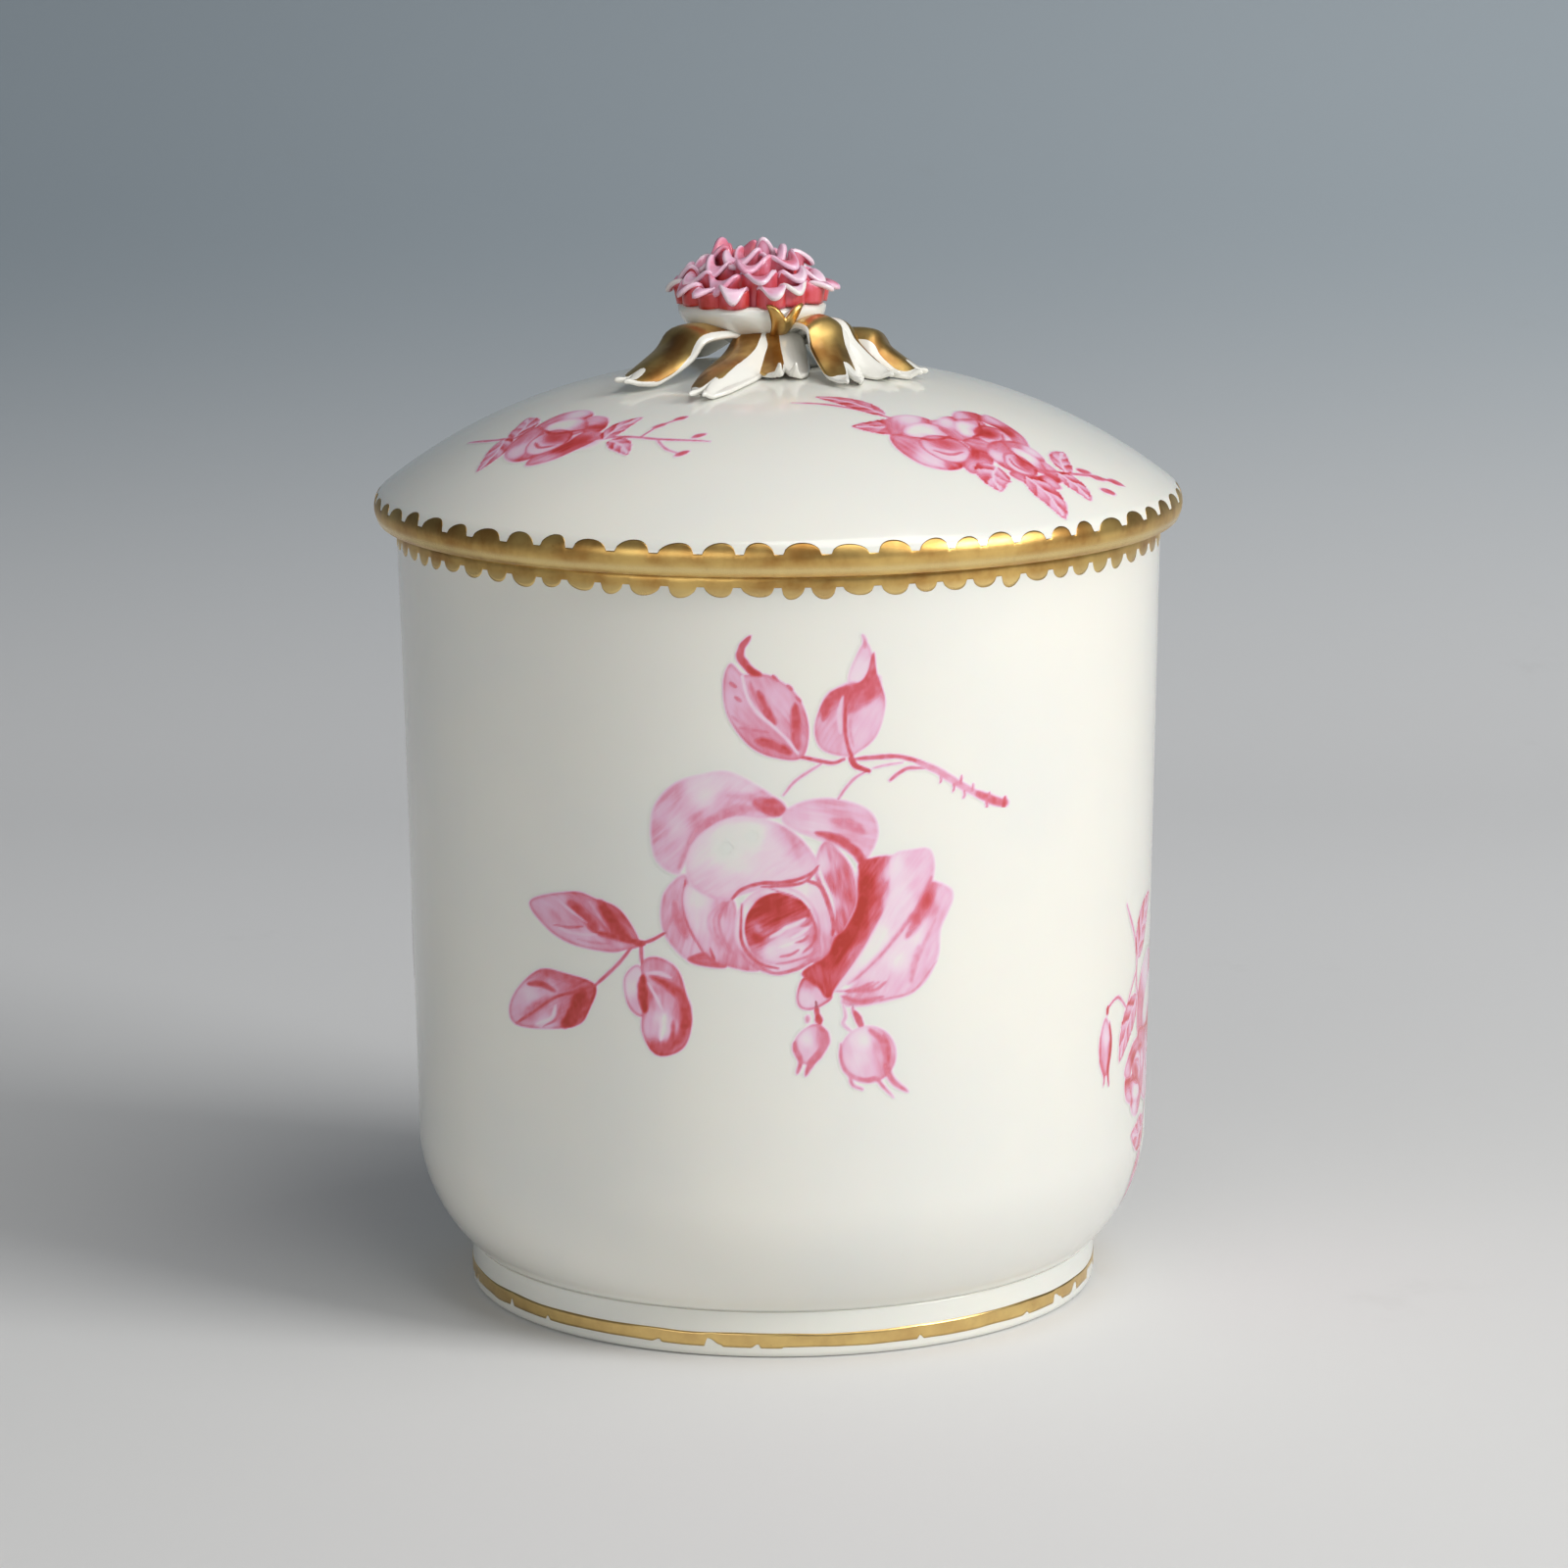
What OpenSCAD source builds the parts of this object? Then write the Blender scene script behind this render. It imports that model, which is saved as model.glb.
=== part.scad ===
// Covered powder jar in thrown porcelain: a footed pot, a domed cover that lifts off, and
// a flower knob built up from petals and leaves. Millimetres, +Z up. The origin is the
// centre of the circle that the foot stands on, and the front of the pot faces -Y.

/* [Pot] */
// Outer radius of the foot ring
foot_r = 28; // [26:0.5:29]
// Height of the foot ring
foot_h = 4.1; // [3.6:0.1:6]
// Thickness of the foot ring
foot_wall = 2.6; // [2:0.1:4]
// Depth of the recess above the foot ring, under the floor
recess_depth = 0.5; // [0.2:0.1:1]
// Radius of the outer curve between foot and wall
belly_r = 14; // [11:0.5:16]
// Outer radius of the wall where that curve ends
wall_low_r = 32.6; // [32:0.1:33]
// Outer radius of the wall at the rim
wall_top_r = 33.6; // [33.2:0.1:34]
// Height of the rim
rim_z = 69; // [55:1:85]
// Thickness of the wall
wall_t = 2.5; // [2.2:0.1:3]
// Thickness of the floor
floor_t = 3.4; // [3:0.1:4.5]
// Radius of the inner curve between floor and wall
floor_curve_r = 7; // [5:0.5:9]

/* [Cover] */
// Largest radius of the cover, at its bead
lid_r = 35.5; // [35.2:0.1:36]
// Radius of the bead's upper rounding
bead_r = 2; // [1.8:0.1:2.4]
// Radius of the small rounding below the bead
lip_r = 0.8; // [0.5:0.1:1]
// Slope of the dome where it meets the bead, in degrees
shoulder_slope = 38; // [34:1:42]
// Radius of curvature of the dome's shoulder
shoulder_r = 48.5; // [46:0.5:52]
// Radius of curvature of the dome's crown
crown_r = 80; // [75:1:90]
// Thickness of the dome
lid_t = 2.8; // [2.4:0.1:3.2]
// Depth of the locating flange below the seat
flange_depth = 5; // [3:0.5:8]
// Thickness of the locating flange
flange_t = 2; // [1.6:0.1:2.6]
// Radial clearance of the flange in the mouth
flange_gap = 0.5; // [0.4:0.1:0.8]
// Clearance under the cover where it rests on the rim
seat_gap = 0.05; // [0.02:0.01:0.1]

/* [Knob] */
// Sideways place of the stalk
knob_x = -0.6; // [-1.5:0.1:1]
// Sideways place of the flower, which leans a little
flower_x = -2.2; // [-3:0.1:0]
// Radius of the stalk's neck
neck_r = 3.1; // [2.5:0.1:3.6]
// Height of the stalk above the dome
stalk_h = 2.5; // [2.2:0.1:3.5]
// Height of the cup under the flower
cup_h = 2.8; // [2.2:0.1:3.5]
// Radius of the cup at its top
cup_r = 6.5; // [6:0.1:7]
// Radius of the flower
flower_r = 7.2; // [6.6:0.1:7.6]
// Height of the flower above its cup
flower_h = 5.7; // [5:0.1:6.5]
// Rows of petals, from the outside in
rows = 5; // [4:1:5]
// Thickness of a petal
petal_t = 0.65; // [0.5:0.05:0.8]
// Width of a petal at its rim
petal_pitch = 3.15; // [3:0.05:3.6]

/* [Leaves] */
// Direction in which each leaf points, in degrees
leaf_angle = [214, 247, 270, 297, 324, 350, 62, 128]; // each 0 to 360
// Distance from the stalk's axis to each leaf's tip
leaf_reach = [16, 17.2, 10.6, 12.6, 13.6, 14, 13, 15]; // each 10 to 18
// Height of each leaf's crest above the dome's top
leaf_crest = [3.3, 3.4, 3.3, 3.9, 3, 2.6, 3.3, 3.2]; // each 2.4 to 4
// Greatest width of each leaf
leaf_w = [4.2, 3, 2.4, 3.3, 3.2, 3, 4, 4.2]; // each 2.4 to 4.5
// Thickness of a leaf
leaf_t = 0.8; // [0.6:0.1:1]

/* [Hidden] */
$fn = 96;
hair = 0.03;                    // glaze-thin gap between pieces that are stuck together
porcelain = "#f4f1e6";
gilding = "#c2933f";
rose_pink = "#d8768a";

// Pot
belly_cr = wall_low_r - belly_r;
belly_foot = acos((foot_r - 0.1 - belly_cr) / belly_r);
belly_cz = foot_h + belly_r * sin(belly_foot);
recess_z = foot_h + recess_depth;
floor_z = recess_z + floor_t;
mouth_r = wall_top_r - wall_t;
rim_round = 0.9;

// Cover: every centre follows from the tangents between the arcs
seat_z = rim_z + seat_gap;
lip_turn = 18;                  // how far the bead's arc runs below its widest point
lip_c = bead_r - lip_r;
bead_z = seat_z + lip_r + lip_c * sin(lip_turn);
bead_cr = lid_r - bead_r;
shoulder_end = 90 - shoulder_slope;
shoulder_cr = bead_cr - (shoulder_r - bead_r) * cos(shoulder_end);
shoulder_cz = bead_z - (shoulder_r - bead_r) * sin(shoulder_end);
crown_end = acos(shoulder_cr / (crown_r - shoulder_r));
crown_cz = shoulder_cz - (crown_r - shoulder_r) * sin(crown_end);
apex_z = crown_cz + crown_r;
flange_r = mouth_r - flange_gap;
hollow_r = flange_r - flange_t;
hollow_round = 3;
hollow_reach = shoulder_r - lid_t - hollow_round;
hollow_cr = hollow_r - hollow_round;
hollow_cz = shoulder_cz + sqrt(pow(hollow_reach, 2) - pow(hollow_cr - shoulder_cr, 2));
hollow_end = atan2(hollow_cz - shoulder_cz, hollow_cr - shoulder_cr);

// Knob
cup_z = apex_z + stalk_h;
cup_top = cup_z + cup_h;
cup_foot_r = 3.3;
cup_lip = 0.4;                  // height of the upright edge at the top of the cup
row_step = 1 / (rows - 0.15);
root_half = 0.5;                // half the width of a leaf at its root
tip_half = 0.35;                // and at its tip
leaves = len(leaf_angle);

function row_base(k) = (cup_r - 1) * (1 - k * row_step);
function row_rim(k) = flower_r - 0.2 - (flower_r - 1.1) * k / (rows - 1);
function row_top(k) = flower_h - (flower_h - 2.5) * pow((rows - 1 - k) / (rows - 1), 2);
function row_count(k) = max(3, round(360 / (petal_pitch / row_rim(k) * 180 / PI)));

function leaf_name(i) = str("leaf_", i + 1);
function petal_name(k, i) = str("petal_row", k + 1, "_", i + 1);

function arc(cr, cz, r, from, to, steps) =
    [for (i = [0:steps]) let (a = from + (to - from) * i / steps)
        [cr + r * cos(a), cz + r * sin(a)]];

function bezier(p, t) =
    pow(1 - t, 3) * p[0] + 3 * t * pow(1 - t, 2) * p[1]
    + 3 * t * t * (1 - t) * p[2] + pow(t, 3) * p[3];

// Height of the dome's outer face at distance u from the axis
function dome_z(u) = u < crown_r * cos(crown_end)
    ? crown_cz + sqrt(pow(crown_r, 2) - u * u)
    : shoulder_cz + sqrt(pow(shoulder_r, 2) - pow(u - shoulder_cr, 2));

// The cover's outer outline, from the axis to the bead's widest point and round the lip
lid_outline = concat(
    arc(0, crown_cz, crown_r, 90, crown_end, 5),
    arc(shoulder_cr, shoulder_cz, shoulder_r, crown_end - 2, shoulder_end, 16),
    arc(bead_cr, bead_z, bead_r, shoulder_end - 8, -lip_turn, 10),
    arc(bead_cr + lip_c * cos(lip_turn), bead_z - lip_c * sin(lip_turn), lip_r,
        -lip_turn - 18, -90, 4));

cup_outline = [for (i = [0:8]) let (a = 90 * i / 8)
    [cup_foot_r + (cup_r - cup_foot_r) * sin(a), cup_z + (cup_h - cup_lip) * (1 - cos(a))]];

// Solid shapes that the hand-stuck pieces are trimmed against
module dome_form() {
    translate([0, 0, hair])
        rotate_extrude() polygon(concat([[0, seat_z]], lid_outline));
}

module stem_form(grow = 0) {
    flare = 2.1;
    foot = neck_r + flare;
    translate([knob_x, 0, 0]) rotate_extrude() polygon(concat(
        [[0, apex_z - 1], [foot + grow, apex_z - 1]],
        arc(foot + grow, apex_z + flare, flare, 270, 180, 6),
        [[neck_r + grow, cup_z], [0, cup_z]]));
}

module cup_form(grow = 0) {
    translate([flower_x, 0, 0]) rotate_extrude() polygon(concat(
        [[0, cup_z - grow]], [for (p = cup_outline) p + [grow, -grow]],
        [[cup_r + grow - cup_lip, cup_top + grow], [0, cup_top + grow]]));
}

// A thrown shell with a flat recessed base, a curved foot end and a rounded rim
module jar_body() {
    recess_r = foot_r - foot_wall - recess_depth;
    color(porcelain) rotate_extrude() polygon(concat(
        [[0, recess_z], [recess_r, recess_z], [recess_r + recess_depth, foot_h]],
        arc(belly_cr, belly_cz, belly_r, -belly_foot, 0, 20),
        arc(wall_top_r - rim_round, rim_z - rim_round, rim_round, 0, 90, 6),
        arc(mouth_r + rim_round, rim_z - rim_round, rim_round, 90, 180, 6),
        arc(wall_low_r - wall_t - floor_curve_r, floor_z + floor_curve_r,
            floor_curve_r, 0, -90, 12),
        [[0, floor_z]]));
}

module foot_ring() {
    edge = 0.6;
    color(porcelain) rotate_extrude() polygon(concat(
        arc(foot_r - edge, edge, edge, -90, 0, 5),
        arc(foot_r - edge / 2, foot_h - edge / 2, edge / 2, 0, 90, 4),
        [[foot_r - foot_wall, foot_h]],
        arc(foot_r - foot_wall + edge, edge, edge, 180, 270, 5)));
}

module lid_dome() {
    color(porcelain) rotate_extrude() polygon(concat(
        lid_outline,
        [[hollow_r, seat_z]],
        arc(hollow_cr, hollow_cz, hollow_round, 0, hollow_end, 8),
        arc(shoulder_cr, shoulder_cz, shoulder_r - lid_t, hollow_end + 2, crown_end, 14),
        arc(0, crown_cz, crown_r - lid_t, crown_end + 2, 90, 4)));
}

// The locating flange hangs from the seat and ends in a rounded edge
module lid_flange() {
    edge = flange_t / 2 - 0.1;
    low = seat_z - flange_depth;
    color(porcelain) rotate_extrude() polygon(concat(
        [[flange_r, seat_z], [hollow_r, seat_z]],
        arc(hollow_r + edge, low + edge, edge, 180, 270, 5),
        arc(flange_r - edge, low + edge, edge, 270, 360, 5)));
}

module knob_stem() {
    color(porcelain) difference() {
        stem_form();
        dome_form();
    }
}

module flower_cup() {
    color(porcelain) cup_form();
}

// A forked gilded sepal laid on the front of the cup
module sepal() {
    thick = 0.45;
    half = 17;
    aim = 293;
    fork = 0.8;
    color(gilding) difference() {
        translate([flower_x, 0, 0]) rotate([0, 0, aim - half])
            rotate_extrude(angle = 2 * half) polygon(concat(
                [for (i = [5:8]) cup_outline[i] + [hair, 0]],
                [[cup_r + hair, cup_top], [cup_r + thick, cup_top]],
                [for (i = [8:-1:5]) cup_outline[i] + [thick, 0]]));
        translate([flower_x, 0, cup_top]) rotate([0, 0, aim])
            translate([cup_r, 0, 0]) rotate([45, 0, 0]) cube(2 * fork, center = true);
        leaf_form(3, hair);
    }
}

// A strap that arches from the stalk to the dome, cut to a leaf's outline in plan
module leaf_form(i, grow = 0) {
    reach = leaf_reach[i];
    crest = apex_z + leaf_crest[i];
    tip_z = dome_z(norm([reach * cos(leaf_angle[i]) + knob_x, reach * sin(leaf_angle[i])]));
    path = [[neck_r - 0.6, cup_z - 1.2], [reach * 0.42, crest + 1.6],
            [reach * 0.66, crest - 0.2], [reach, tip_z + leaf_t / 2]];
    steps = 12;
    top = [for (s = [0:steps]) bezier(path, s / steps) + [0, grow]];
    under = [for (s = [steps:-1:0]) bezier(path, s / steps) - [0, leaf_t + grow]];
    w = leaf_w[i] + 2 * grow;
    root = neck_r - 1;
    // half the width along the leaf: slim at the root, widest near the middle
    side = [for (s = [0:steps]) let (t = s / steps)
        [root + (reach - root) * t, root_half + (w / 2 - root_half) * sin(200 * pow(t, 1.25))]];
    wide = [for (p = side) if (p[1] > tip_half) p];
    plan = concat(wide, [[reach, tip_half], [reach, -tip_half]],
        [for (s = [len(wide) - 1:-1:0]) [wide[s][0], -wide[s][1]]]);
    translate([knob_x, 0, 0]) rotate([0, 0, leaf_angle[i]]) intersection() {
        rotate([90, 0, 0]) linear_extrude(w + 2, center = true) polygon(concat(top, under));
        translate([0, 0, seat_z]) linear_extrude(2 * (apex_z - seat_z)) polygon(plan);
    }
}

module leaf(i) {
    color(gilding) difference() {
        leaf_form(i);
        stem_form(hair);
        cup_form(hair);
        dome_form();
    }
}

// One petal of a row: part of a flaring shell that stands on the cup, with a notched rim
module petal(k, i) {
    n = row_count(k);
    turn = 360 / n;
    lean = row_rim(k) - row_base(k);
    top = row_top(k);
    steps = 5;
    notch = min(1, petal_pitch * row_rim(k) / flower_r / 2.6);
    face = [for (s = [0:steps]) let (t = s / steps)
        [row_base(k) + lean * pow(t, 1.6), cup_top + hair + (top - hair) * t]];
    inner = max(row_base(k) - petal_t, 0.12) - row_base(k);
    color(rose_pink) translate([flower_x, 0, 0]) rotate([0, 0, (i + k / 2) * turn])
        difference() {
            rotate([0, 0, -turn / 2 + 1.5]) rotate_extrude(angle = turn - 3)
                polygon(concat(face, [for (s = [steps:-1:0]) face[s] + [inner, 0]]));
            translate([row_rim(k), 0, cup_top + top])
                rotate([45, 0, 0]) cube([4, 1, 1] * 1.3 * notch, center = true);
        }
}

jar_body();
foot_ring();
lid_dome();
lid_flange();
knob_stem();
flower_cup();
sepal();
for (i = [0:leaves - 1]) leaf(i);
for (k = [0:rows - 1]) for (i = [0:row_count(k) - 1])
    petal(k, i);
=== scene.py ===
import math

import bmesh
import bpy
import numpy as np
from mathutils import Matrix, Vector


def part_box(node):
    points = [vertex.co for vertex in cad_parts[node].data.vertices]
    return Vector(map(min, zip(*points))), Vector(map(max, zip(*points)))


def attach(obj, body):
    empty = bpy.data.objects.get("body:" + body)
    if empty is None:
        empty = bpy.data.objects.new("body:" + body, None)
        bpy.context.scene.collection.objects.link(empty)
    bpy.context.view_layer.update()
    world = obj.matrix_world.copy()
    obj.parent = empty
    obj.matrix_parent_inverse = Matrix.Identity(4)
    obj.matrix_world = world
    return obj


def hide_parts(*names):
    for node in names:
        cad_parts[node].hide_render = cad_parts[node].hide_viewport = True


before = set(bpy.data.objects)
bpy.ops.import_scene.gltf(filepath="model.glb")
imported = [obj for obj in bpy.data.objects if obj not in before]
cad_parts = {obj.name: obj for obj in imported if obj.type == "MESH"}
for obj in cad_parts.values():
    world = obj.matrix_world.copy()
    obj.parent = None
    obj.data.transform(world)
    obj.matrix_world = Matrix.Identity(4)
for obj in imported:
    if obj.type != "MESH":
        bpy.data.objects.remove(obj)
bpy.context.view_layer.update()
print("frame loaded:", len(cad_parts), "nodes")

mm = 0.001


class Wire:
    # a shader socket that takes part in sums, with one method for every other node
    def __init__(self, tree, socket=None):
        self.tree = tree
        self.socket = socket

    def add(self, kind, settings=None, values=None, out=0):
        made = self.tree.nodes.new(kind)
        for name, value in (settings or {}).items():
            if name == "stops":
                setStops(made.color_ramp, value)
            else:
                setattr(made, name, value)
        for name, value in (values or {}).items():
            if isinstance(value, Wire):
                self.tree.links.new(value.socket, made.inputs[name])
            else:
                made.inputs[name].default_value = value
        return Wire(self.tree, made.outputs[out])

    def math(self, operation, *terms, clamp=False):
        settings = {"operation": operation, "use_clamp": clamp}
        return self.add("ShaderNodeMath", settings, dict(enumerate(terms)))

    def __add__(self, other):
        return self.math("ADD", self, other)

    def __radd__(self, other):
        return self.math("ADD", other, self)

    def __sub__(self, other):
        return self.math("SUBTRACT", self, other)

    def __rsub__(self, other):
        return self.math("SUBTRACT", other, self)

    def __mul__(self, other):
        return self.math("MULTIPLY", self, other)

    def __rmul__(self, other):
        return self.math("MULTIPLY", other, self)

    def step(self, low, high):
        # 0 below low, 1 above high, smooth between
        settings = {"interpolation_type": "SMOOTHSTEP"}
        values = {"Value": self, "From Min": low, "From Max": high}
        return self.add("ShaderNodeMapRange", settings, values)

    def mix(self, first, second):
        # colour first where this is 0, colour second where it is 1
        made = self.tree.nodes.new("ShaderNodeMix")
        made.data_type = "RGBA"
        self.tree.links.new(self.socket, made.inputs["Factor"])
        for socket, value in ((made.inputs[6], first), (made.inputs[7], second)):
            if isinstance(value, Wire):
                self.tree.links.new(value.socket, socket)
            else:
                socket.default_value = value
        return Wire(self.tree, made.outputs[2])

    def place(self):
        return self.add("ShaderNodeTexCoord", out="Object")

    def noise(self, scale, detail=2.0, rough=0.5, place=None):
        values = {"Vector": place or self.place(), "Scale": scale, "Detail": detail,
                  "Roughness": rough}
        return self.add("ShaderNodeTexNoise", None, values, "Fac")

    def stretched(self, scale):
        # object coordinates stretched by a factor along each axis
        return self.add("ShaderNodeMapping", None, {"Vector": self.place(), "Scale": scale})

    def field(self, name):
        return self.add("ShaderNodeAttribute", {"attribute_name": name}, None, "Fac")

    def bump(self, height, strength, distance):
        values = {"Height": height, "Strength": strength, "Distance": distance}
        return self.add("ShaderNodeBump", None, values, "Normal")


def setStops(ramp, stops):
    while len(ramp.elements) < len(stops):
        ramp.elements.new(0.5)
    for element, (position, colour) in zip(ramp.elements, stops):
        element.position = position
        element.color = colour


def paint(red, green, blue):
    # an sRGB colour given from 0 to 255, as the linear colour that shaders take
    def linear(value):
        value /= 255
        return value / 12.92 if value <= 0.04045 else ((value + 0.055) / 1.055) ** 2.4

    return (linear(red), linear(green), linear(blue), 1.0)


def newFinish(name):
    material = bpy.data.materials.new(name)
    material.use_nodes = True
    material.node_tree.nodes.clear()
    return material, Wire(material.node_tree)


def fireFinish(start, fixed, varied):
    # the surface shader with its fixed numbers and what varies over the surface
    shader = start.add("ShaderNodeBsdfPrincipled", None, {**fixed, **varied})
    output = start.tree.nodes.new("ShaderNodeOutputMaterial")
    start.tree.links.new(shader.socket, output.inputs["Surface"])


porcelain = {
    "cream": paint(241, 239, 230),
    "cool": paint(235, 235, 229),
    "speck": paint(150, 122, 84),
    "speckSpacing": 5.5,       # mm between possible specks
    "waviness": 0.05,          # mm of bump in the glaze
}

glossFixed = {"IOR": 1.5, "Coat Weight": 0.35, "Coat Roughness": 0.08,
              "Subsurface Weight": 0.06, "Subsurface Scale": 0.004}


def glazeColour(start):
    # creamy glaze, a little cooler in patches, with a rare iron speck
    patches = start.noise(45, 3).step(0.35, 0.68)
    clean = patches.mix(porcelain["cream"], porcelain["cool"])
    scale = 1 / (porcelain["speckSpacing"] * mm)
    cells = {"Vector": start.place(), "Scale": scale}
    near = start.add("ShaderNodeTexVoronoi", None, cells, "Distance")
    tint = start.add("ShaderNodeTexVoronoi", None, cells, "Color")
    chosen = start.add("ShaderNodeSeparateColor", None, {"Color": tint}, 0).step(0.9, 0.91)
    speck = (1 - near.step(0.012, 0.032)) * chosen
    return (speck * 0.7).mix(clean, porcelain["speck"])


def glazeNormal(start):
    broad = start.noise(38, 1.5)
    fine = start.noise(420, 2)
    return start.bump(broad + fine * 0.06, 0.25, porcelain["waviness"] * mm)


def glazeFinish():
    material, start = newFinish("creamyGlaze")
    rough = 0.13 + start.noise(90, 3) * 0.1
    fireFinish(start, glossFixed, {"Base Color": glazeColour(start), "Roughness": rough,
                                   "Normal": glazeNormal(start)})
    return material


rosePaint = {
    "washes": ((0.0, paint(240, 232, 232)), (0.14, paint(240, 214, 229)),
               (0.30, paint(236, 186, 213)), (0.47, paint(226, 140, 166)),
               (0.66, paint(216, 96, 112)), (0.82, paint(204, 66, 68)),
               (1.0, paint(184, 46, 34))),
}


def enamelColour(start, ink):
    # thin enamel over the glaze: the ink's strength picks the tint, and nothing shows at 0
    tint = start.add("ShaderNodeValToRGB", {"stops": rosePaint["washes"]}, {"Fac": ink}, "Color")
    return ink.step(0.0, 0.1).mix(glazeColour(start), tint)


def enamelFinish(name, fixed, streak):
    material, start = newFinish(name)
    ink = start.field("ink")
    brush = start.noise(900, 3, 0.6, start.stretched((1.0, 1.0, 0.35))) - 0.5
    pooled = ink + ink * brush * streak
    rough = 0.16 + start.noise(300, 2) * 0.1 + ink * 0.12
    fireFinish(start, fixed, {"Base Color": enamelColour(start, pooled), "Roughness": rough,
                              "Normal": glazeNormal(start)})
    return material


gold = {
    "paintedShine": paint(246, 222, 160),
    "bright": paint(230, 194, 118),
    "deep": paint(184, 134, 70),
    "brown": paint(150, 98, 44),
    "worn": paint(120, 80, 40),
}


def goldColour(start):
    cloud = start.noise(220, 4, 0.6).step(0.3, 0.75)
    body = cloud.mix(gold["bright"], gold["deep"])
    # painted highlight: where the burnish field is high the gold is mixed towards a pale shine
    # colour that stands for reflected light
    body = (start.field("polish") * 0.7).mix(body, gold["paintedShine"])
    rubbed = start.noise(700, 5, 0.7).step(0.66, 0.8)
    return (rubbed * 0.5).mix(body, gold["worn"])


def goldFinish():
    material, start = newFinish("burnishedGold")
    hatch = start.noise(1500, 3, 0.6, start.stretched((1.0, 1.0, 3.0)))
    # the same field also burnishes the gold, lowering its roughness
    rough = 0.3 - start.field("polish") * 0.16 + start.noise(500, 4, 0.65) * 0.16
    normal = start.bump(hatch, 0.25, 0.03 * mm)
    fireFinish(start, {"Metallic": 1.0},
               {"Base Color": goldColour(start), "Roughness": rough, "Normal": normal})
    return material


def leafFinish():
    # white porcelain with gold where the leaf's gold field is 1
    material, start = newFinish("gildedLeaf")
    ragged = start.field("gold") + (start.noise(900, 3, 0.6) - 0.5) * 0.35
    gilt = ragged.step(0.42, 0.52)
    pale = glazeColour(start)
    dull = start.noise(260, 3).step(0.35, 0.7)
    dark = (dull * 0.9).mix(gold["bright"], gold["brown"])
    rubbed = start.noise(800, 4, 0.7).step(0.62, 0.8)
    tone = (rubbed * 0.6).mix(dark, gold["worn"])
    rough = 0.16 + gilt * (0.12 + start.noise(600, 3) * 0.16)
    relief = start.noise(700, 3, 0.6) + gilt * 0.3
    fireFinish(start, {"IOR": 1.5, "Coat Weight": 0.2, "Coat Roughness": 0.1},
               {"Base Color": gilt.mix(pale, tone), "Metallic": gilt * 0.96, "Roughness": rough,
                "Normal": start.bump(relief, 0.3, 0.05 * mm)})
    return material


glaze = glazeFinish()
enamel = enamelFinish("roseEnamel", glossFixed, 0.5)
petalEnamel = enamelFinish("petalEnamel", {"IOR": 1.5, "Coat Weight": 0.3,
                                           "Coat Roughness": 0.12}, 0.9)
burnishedGold = goldFinish()
gildedLeaf = leafFinish()
print("finishes ready")


def softNoise(u, v, cell, seed):
    # smooth noise from -1 to 1 over a plane, with features of the given size
    lattice = np.random.default_rng(seed).uniform(-1, 1, (64, 64))
    x, y = np.asarray(u) / cell, np.asarray(v) / cell
    i, j = np.floor(x).astype(int), np.floor(y).astype(int)
    x, y = x - i, y - j
    x, y = x * x * (3 - 2 * x), y * y * (3 - 2 * y)
    low = lattice[i % 64, j % 64] * (1 - x) + lattice[(i + 1) % 64, j % 64] * x
    high = lattice[i % 64, (j + 1) % 64] * (1 - x) + lattice[(i + 1) % 64, (j + 1) % 64] * x
    return low * (1 - y) + high * y


def smoothStep(value, low, high):
    t = np.clip((value - low) / (high - low), 0, 1)
    return t * t * (3 - 2 * t)


def arc(cr, cz, radius, start, end, steps):
    turn = np.radians(np.linspace(start, end, steps + 1))
    return [(cr + radius * math.cos(a), cz + radius * math.sin(a)) for a in turn]


def gridFaces(rows, columns, loopRows=False, loopColumns=False):
    i, j = np.meshgrid(np.arange(rows if loopRows else rows - 1),
                       np.arange(columns if loopColumns else columns - 1), indexing="ij")
    up, along = (i + 1) % rows, (j + 1) % columns
    quads = np.stack([i * columns + j, i * columns + along, up * columns + along,
                      up * columns + j], -1)
    return quads.reshape(-1, 4).tolist()


def makePiece(name, points, faces, body, finish, nodes=(), fields=None, outward=False):
    mesh = bpy.data.meshes.new(name)
    mesh.from_pydata((np.asarray(points, float) * mm).tolist(), [], faces)
    for field, values in (fields or {}).items():
        layer = mesh.attributes.new(field, "FLOAT", "POINT")
        layer.data.foreach_set("value", np.ascontiguousarray(values, dtype=np.float32).ravel())
    if outward:
        solid = bmesh.new()
        solid.from_mesh(mesh)
        bmesh.ops.recalc_face_normals(solid, faces=solid.faces)
        solid.to_mesh(mesh)
        solid.free()
    mesh.shade_smooth()
    mesh.materials.append(finish)
    piece = bpy.data.objects.new(name, mesh)
    bpy.context.collection.objects.link(piece)
    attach(piece, body)
    if nodes:
        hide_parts(*nodes)
    return piece


def lathe(name, section, body, nodes, turns=288, sway=None):
    # spins a section of (radius, height) points; a section that starts on the axis ends on it
    section = np.array(section)
    capped = section[0, 0] < 1e-6
    rings = section[1:-1] if capped else section
    angle = np.arange(turns) * 2 * math.pi / turns
    radius = np.repeat(rings[:, :1], turns, 1)
    height = np.repeat(rings[:, 1:], turns, 1)
    if sway is not None:
        radius = radius + sway(angle[None, :], height)
    points = np.stack([radius * np.sin(angle), -radius * np.cos(angle), height], -1)
    points = points.reshape(-1, 3)
    faces = gridFaces(len(rings), turns, loopRows=not capped, loopColumns=True)
    if capped:
        last = len(points)
        points = np.vstack([points, [0, 0, section[0, 1]], [0, 0, section[-1, 1]]])
        top = (len(rings) - 1) * turns
        for i in range(turns):
            j = (i + 1) % turns
            faces += [[last, j, i], [last + 1, top + i, top + j]]
    return makePiece(name, points, faces, body, glaze, nodes, outward=True)


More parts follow.
